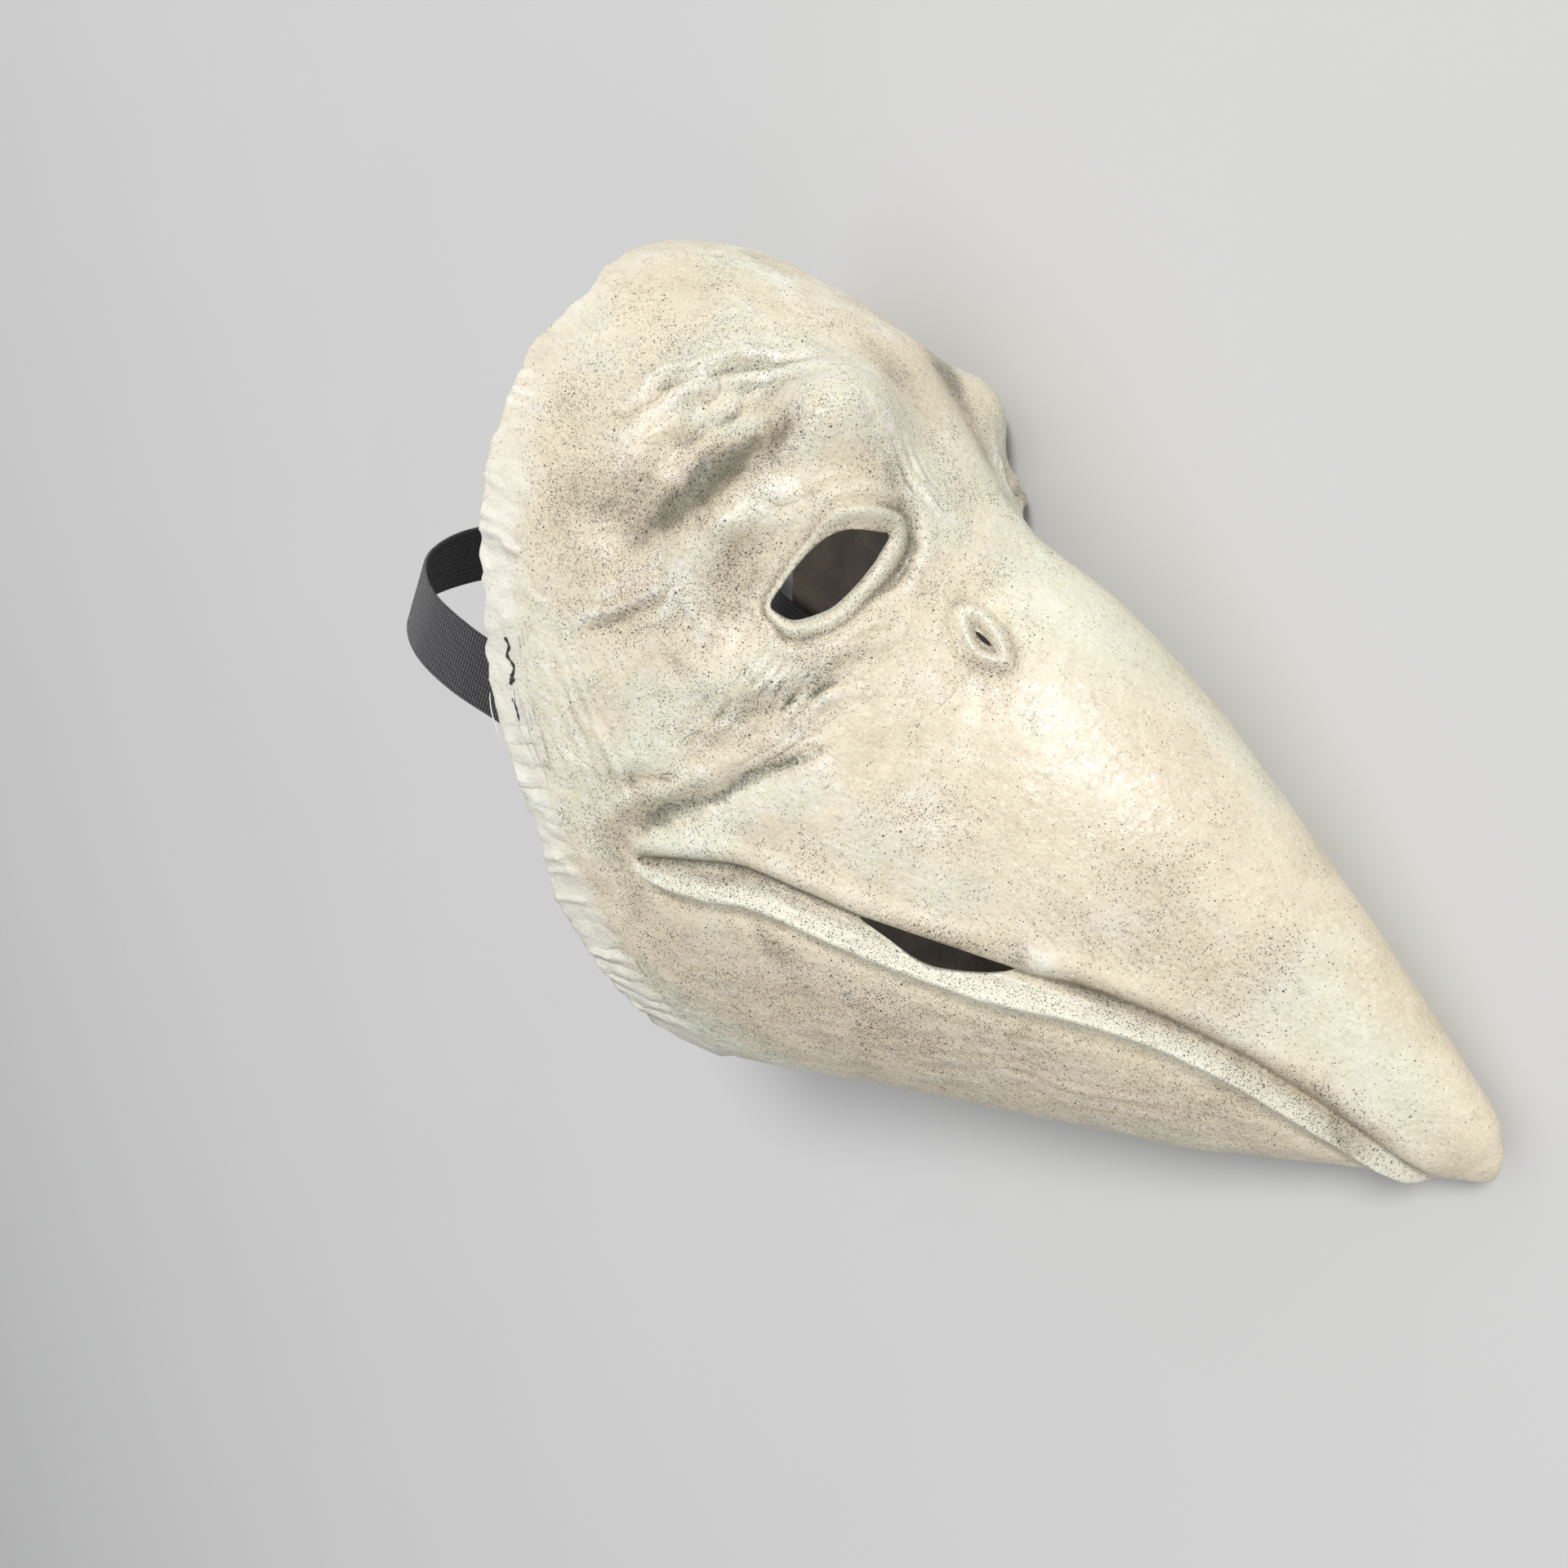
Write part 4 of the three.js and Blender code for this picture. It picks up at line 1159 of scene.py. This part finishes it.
class Nodes:
    """Short calls for building one node material."""

    def __init__(self, name):
        self.material = bpy.data.materials.new(name)
        self.material.use_nodes = True
        self.tree = self.material.node_tree

    def feed(self, socket, value):
        if isinstance(value, Value):
            self.tree.links.new(value.socket, socket)
        elif socket.type == "RGBA":
            socket.default_value = (*value, 1.0)
        else:
            socket.default_value = value

    def node(self, kind, output, inputs=(), **settings):
        """Adds a node and gives one output, or a list of them for a tuple."""
        node = self.tree.nodes.new(kind)
        for key, value in settings.items():
            setattr(node, key, value)
        for key, value in dict(inputs).items():
            self.feed(node.inputs[key], value)
        if isinstance(output, tuple):
            return [Value(self, node.outputs[k]) for k in output]
        return Value(self, node.outputs[output])

    def surface(self, **inputs):
        """Feeds the surface's inputs, with _ for a space in their names."""
        shader = self.tree.nodes["Principled BSDF"]
        for key, value in inputs.items():
            self.feed(shader.inputs[key.replace("_", " ")], value)
        return self.material

    def place(self):
        return self.node("ShaderNodeTexCoord", "Object")

    def split(self, colour):
        return self.node("ShaderNodeSeparateColor", (0, 1, 2), {0: colour})

    def layer(self, name):
        """The four numbers of one of the casting's colour layers."""
        colour, last = self.node("ShaderNodeAttribute", ("Color", "Alpha"), attribute_name=name)
        return [*self.split(colour), last]

    def math(self, operation, *values, clamp=False):
        return self.node(
            "ShaderNodeMath", 0, enumerate(values), operation=operation, use_clamp=clamp)

    def most(self, first, second, clamp=False):
        return self.math("MAXIMUM", first, second, clamp=clamp)

    def ramp(self, value, low, high, to_low=0.0, to_high=1.0):
        """Smoothly from to_low where the value is low to to_high where it is high."""
        stops = enumerate((value, low, high, to_low, to_high))
        return self.node("ShaderNodeMapRange", 0, stops, interpolation_type="SMOOTHSTEP")

    def noise(self, place, scale, detail=3.0, rough=0.55, warp=0.0):
        return self.node("ShaderNodeTexNoise", "Fac", {
            "Vector": place, "Scale": scale, "Detail": detail, "Roughness": rough,
            "Distortion": warp,
        })

    def cells(self, place, scale, feature="F1"):
        inputs = {"Vector": place, "Scale": scale}
        return self.node("ShaderNodeTexVoronoi", ("Color", "Distance"), inputs, feature=feature)

    def wave(self, place, scale, warp, detail, direction):
        inputs = {"Vector": place, "Scale": scale, "Distortion": warp, "Detail": detail}
        return self.node(
            "ShaderNodeTexWave", "Fac", inputs, wave_type="BANDS", bands_direction=direction)

    def mix(self, factor, first, second):
        inputs = {0: factor, 6: first, 7: second}
        return self.node("ShaderNodeMix", 2, inputs, data_type="RGBA")

    def stretch(self, place, scale):
        return self.node("ShaderNodeMapping", 0, {"Vector": place, "Scale": scale})

    def bump(self, *layers):
        """Heights over each other, each with the distance in metres that it stands for."""
        below = {}
        for height, distance in layers:
            inputs = {"Height": height, "Distance": distance, "Strength": 1.0, **below}
            below = {"Normal": self.node("ShaderNodeBump", 0, inputs)}
        return below["Normal"]


CREAM = (0.70, 0.622, 0.468)
BONE = (0.655, 0.675, 0.535)
CHALK = (0.78, 0.765, 0.68)
MAUVE = (0.44, 0.356, 0.250)
UMBER = (0.14, 0.134, 0.092)
SPOT = (0.035, 0.028, 0.024)
RIM_PALE = (0.67, 0.665, 0.595)
LIP_PALE = (0.72, 0.715, 0.60)
# Inside of the casting: brown latex, darkened beyond its own colour as painted shade.
INSIDE_SHADED = (0.10, 0.078, 0.056)
INSIDE_SHADED_WORN = (0.19, 0.148, 0.10)
ELASTIC_DARK = (0.006, 0.006, 0.008)
ELASTIC_LIGHT = (0.030, 0.030, 0.036)
ELASTIC_FUZZ = (0.055, 0.055, 0.062)
# Threads and gauze: dark, light, roughness.
BLACK_THREAD = ((0.012, 0.012, 0.014), (0.05, 0.05, 0.055), 0.7)
WHITE_THREAD = ((0.62, 0.62, 0.60), (0.82, 0.82, 0.80), 0.8)
GAUZE = ((0.62, 0.61, 0.56), (0.74, 0.74, 0.70), 0.7)
FLOOR_LIGHT = (0.64, 0.64, 0.635)
FLOOR_SHADE = (0.61, 0.61, 0.605)
# Noises of the paint and its relief, from coarse to fine: scale, detail, roughness, distortion.
WIDE = (16, 3, 0.5, 0.3)
DRIFT = (34, 4, 0.6, 0.6)
CRACKS = (62, 3, 0.5, 0.3)
BLOT = (75, 5, 0.62, 0.4)
SWELL = (110, 3, 0.55, 0.5)
PATCH = (240, 4, 0.65, 0.3)
LEATHER = (330, 5, 0.62, 0.8)
GRAIN = (620, 4, 0.6)
STROKES = (640, 5, 0.70, 0.3)
HATCH = (900, 3, 0.6)
GRIT = (1050, 3, 0.7)
# Scale of the pores' cells, and how brush strokes and hatching are drawn out.
PORES = 700
STROKE_STRETCH = (0.22, 1.0, 1.0)
HATCH_STRETCH = (0.35, 1.0, 1.0)
PLEAT_START = 0.30


def speckles(n, place, scale, size, density):
    """Fine sprayed dots: one per cell where the cell's number falls under the density."""
    colour, distance = n.cells(place, scale)
    number, width, _ = n.split(colour)
    chosen = n.math("LESS_THAN", number, density)
    return chosen * n.math("LESS_THAN", distance, width * (size * 0.8) + size * 0.5)


def latex_material():
    n = Nodes("cast_latex_bone")
    place = n.place()
    # The first number of this layer is the painted shade of the hollows.
    hollow_shade, rim, band, spray = n.layer("shade_and_wash")
    outside, glaze, pale_paint, head = n.layer("cast")
    phase, folded = n.layer("creased")[:2]
    wide, drift, blot = (n.noise(place, *sizes) for sizes in (WIDE, DRIFT, BLOT))
    patch, grain, grit = (n.noise(place, *sizes) for sizes in (PATCH, GRAIN, GRIT))
    strokes = n.noise(n.stretch(place, STROKE_STRETCH), *STROKES)

    turn = (patch * 0.4 + (phase + PLEAT_START)) * math.pi
    pleat = n.math("POWER", n.math("ABSOLUTE", n.math("SINE", turn)), 0.7)

    sprayed = spray * n.ramp(blot, 0.25, 0.7, 0.6, 1.1)
    coats = []

    def on_head(elsewhere):
        return n.ramp(head, 0.0, 0.8, elsewhere, 1.0)

    # Over the cream ground: greenish on the high places, chalky in patches that also keep to the
    # high places; this lighter tone on the raised places is partly a painted highlight.
    green = n.ramp(wide, 0.48, 0.70) * n.ramp(hollow_shade, 0.62, 0.25)
    chalk = n.ramp(drift, 0.50, 0.68) * n.ramp(hollow_shade, 0.45, 0.15)
    coats += [
        (green * on_head(0.45), BONE),
        (pale_paint * n.ramp(blot, 0.35, 0.60, 0.35, 0.95), BONE),
        (n.most(chalk, pale_paint * n.ramp(patch, 0.45, 0.62)), CHALK),
    ]
    # Brown stains in random patches and sprayed marks, darkened by painted shade in the hollows,
    # umber and darkest in the folds.
    mauve_stain_and_shade = n.ramp(drift, 0.60, 0.34) * n.ramp(hollow_shade, 0.18, 0.62, 0.25, 1.0)
    # Painted shade: umber where the hollows and folds are deepest, mixed with sprayed marks and
    # random blots.
    deep = n.ramp(spray * 0.16 + ((blot - 0.5) * 0.5 + hollow_shade), 0.50, 1.05)
    veins = n.ramp(strokes, 0.54, 0.66) * n.ramp(sprayed, 0.05, 0.70, 0.20, 0.75)
    coats += [
        (n.most(mauve_stain_and_shade * 0.5, sprayed * 0.95, clamp=True), MAUVE),
        (n.most(deep * 0.72, n.ramp(sprayed, 0.55, 1.30, 0.0, 0.88)), UMBER),
        (n.ramp(patch, 0.40, 0.72) * 0.16, MAUVE),
        (veins * n.ramp(patch, 0.40, 0.60), UMBER),
    ]
    # Pale rim; pale lip, kept off the lip's hollows by painted shade; painted shade in the
    # wrinkles' valleys and painted highlight on their ridges; grit.
    lip = band * n.ramp(sprayed, 0.15, 0.90, 1.0, 0.30)
    coats += [
        (rim * 0.8, n.mix(n.ramp(blot, 0.3, 0.7, 0.0, 0.35), RIM_PALE, CHALK)),
        (lip * n.ramp(hollow_shade, 0.70, 0.35, 0.1, 0.75), LIP_PALE),
        # Painted shade in the wrinkles' valleys, then painted highlight on their ridges.
        (n.ramp(pleat, 0.42, 0.0, 0.0, 0.40) * folded, UMBER),
        (n.ramp(pleat, 0.75, 1.0, 0.0, 0.60) * folded, CHALK),
        (n.ramp(grit, 0.53, 0.72, 0.0, 0.20), UMBER),
        # Whitish grit, partly painted glints of light.
        (n.ramp(grit, 0.47, 0.30, 0.0, 0.55) * n.ramp(sprayed, 0.4, 1.1, 1.0, 0.25), CHALK),
    ]
    # Sprayed dots of three sizes, made denser in the hollows as painted shade.
    cloud = n.ramp(blot, 0.38, 0.66) * n.ramp(wide, 0.3, 0.62, 0.4, 1.0) * on_head(0.35)
    density = sprayed * 0.75 + (n.ramp(hollow_shade, 0.3, 0.9) * 0.35 + cloud * 0.42)
    density = density * n.ramp(rim, 0.0, 1.0, 1.0, 0.15) * on_head(0.6)
    on_lip = band * n.ramp(hollow_shade, 0.1, 0.7, 0.5, 1.6)
    coats += [
        (speckles(n, place, 2000, 0.33, on_lip * 0.9 + density * 2.0) * 0.80, SPOT),
        (speckles(n, place, 1300, 0.28, band * 0.12 + density * 0.95) * 0.80, SPOT),
        (speckles(n, place, 820, 0.25, n.math("POWER", density, 1.8) * 0.45) * 0.88, SPOT),
    ]
    tone = CREAM
    for cover, colour in coats:
        tone = n.mix(cover, tone, colour)
    # The inside: brown latex darkened as painted shade, lighter in random patches.
    bare = n.mix(n.ramp(drift, 0.35, 0.7), INSIDE_SHADED, INSIDE_SHADED_WORN)

    wet = glaze * (n.ramp(blot, 0.34, 0.50) * n.ramp(patch, 0.36, 0.52))
    rough = (1.0 - wet) * (blot * 0.30 + (patch * 0.16 + 0.30)) + wet * (patch * 0.22 + 0.10)

    crack = n.math("ABSOLUTE", n.noise(place, *CRACKS) - 0.5)
    crinkle = n.ramp(crack, 0.0, 0.06) * (head * n.ramp(drift, 0.44, 0.58))
    hatch = n.noise(n.stretch(place, HATCH_STRETCH), *HATCH)
    return n.surface(
        Base_Color=n.mix(outside, bare, tone), Roughness=rim * 0.12 + rough, IOR=1.5,
        Coat_Weight=0.15, Coat_Roughness=0.25, Normal=n.bump(
            (n.noise(place, *SWELL), 0.00060),
            (crinkle, 0.00022),
            (pleat * folded, 0.00060),
            (n.noise(place, *LEATHER), 0.00036),
            (n.cells(place, PORES, "SMOOTH_F1")[1], 0.00008),
            ((grain * 0.7 + hatch) * n.ramp(glaze, 0.0, 0.9, 1.0, 0.70), 0.00019),
        ),
    )


def elastic_material():
    n = Nodes("black_woven_elastic")
    place = n.node("ShaderNodeUVMap", 0, uv_map="weave")
    knit = n.wave(place, 0.31, 1.6, 2.0, "X")
    slant = n.wave(n.stretch(place, (1.0, 1.6, 1.0)), 0.55, 0.8, 2.0, "DIAGONAL")
    weave = slant * 0.6 + knit
    tone = n.mix(n.ramp(weave, 0.4, 1.5), ELASTIC_DARK, ELASTIC_LIGHT)
    fuzz = n.ramp(n.noise(place, 6.0, 3), 0.55, 0.8, 0.0, 0.35)
    return n.surface(
        Base_Color=n.mix(fuzz, tone, ELASTIC_FUZZ), Roughness=0.72, Sheen_Weight=0.25,
        Sheen_Roughness=0.5, Normal=n.bump((weave, 0.00035)),
    )


def thread_material(name, dark, light, rough):
    n = Nodes(name)
    strands = n.noise(n.place(), 3200, 2)
    tone = n.mix(n.ramp(strands, 0.35, 0.65), dark, light)
    return n.surface(Base_Color=tone, Roughness=rough, Normal=n.bump((strands, 0.0001)))


def floor_material():
    n = Nodes("pale_floor")
    tone = n.mix(n.ramp(n.noise(n.place(), 5, 3), 0.3, 0.7, 0.0, 0.25), FLOOR_LIGHT, FLOOR_SHADE)
    return n.surface(Base_Color=tone, Roughness=0.85, Specular_IOR_Level=0.2)


def dress(pieces, material):
    for piece in pieces:
        piece.data.materials.clear()
        piece.data.materials.append(material)


dress([shell], latex_material())
dress([strap], elastic_material())
dress(black_threads, thread_material("black_thread", *BLACK_THREAD))
dress(white_threads, thread_material("white_thread", *WHITE_THREAD))
dress([flap], thread_material("torn_gauze", *GAUZE))


# Floor and light

FLOOR_HALF = 30
SIDE_OF_BEAK = (170, -29, 21)
KEY_DISTANCE = 6.0
# Lights: name, kind, way to it (right, up, towards the camera), power, its own settings.
LIGHTS = [
    ("key", "AREA", (-0.24, 0.30, 0.92), 260.0, {"shape": "DISK", "size": 1.45}),
    ("soft_top", "SUN", (0.22, 0.88, 0.42), 1.52, {"angle": math.radians(30)}),
    ("soft_left", "SUN", (-0.85, -0.05, 0.60), 0.40, {"angle": math.radians(60)}),
]
SKY_COLOR = (0.98, 0.985, 1.0, 1)
SKY_STRENGTH = 0.45


def add_floor():
    h = FLOOR_HALF
    corners = [(-h, -h, 0), (h, -h, 0), (h, h, 0), (-h, h, 0)]
    ground = add_mesh("floor", corners, [(0, 1, 2, 3)], smooth=False)
    ground.data.materials.append(floor_material())


def add_lights():
    axes = bpy.context.scene.camera.matrix_world.to_3x3()
    for name, kind, toward, power, settings in LIGHTS:
        toward = (axes @ Vector(toward)).normalized()
        data = bpy.data.lights.new(name, kind)
        data.energy = power
        for key, value in settings.items():
            setattr(data, key, value)
        light = bpy.data.objects.new(name, data)
        bpy.context.scene.collection.objects.link(light)
        if kind == "AREA":
            light.location = Vector(to_row(SIDE_OF_BEAK)) + toward * KEY_DISTANCE
        light.rotation_euler = toward.to_track_quat("Z", "Y").to_euler()
    world = bpy.data.worlds.new("studio")
    world.use_nodes = True
    sky = world.node_tree.nodes["Background"]
    sky.inputs["Color"].default_value = SKY_COLOR
    sky.inputs["Strength"].default_value = SKY_STRENGTH
    bpy.context.scene.world = world
    bpy.context.scene.view_settings.view_transform = "Standard"


add_floor()
add_lights()
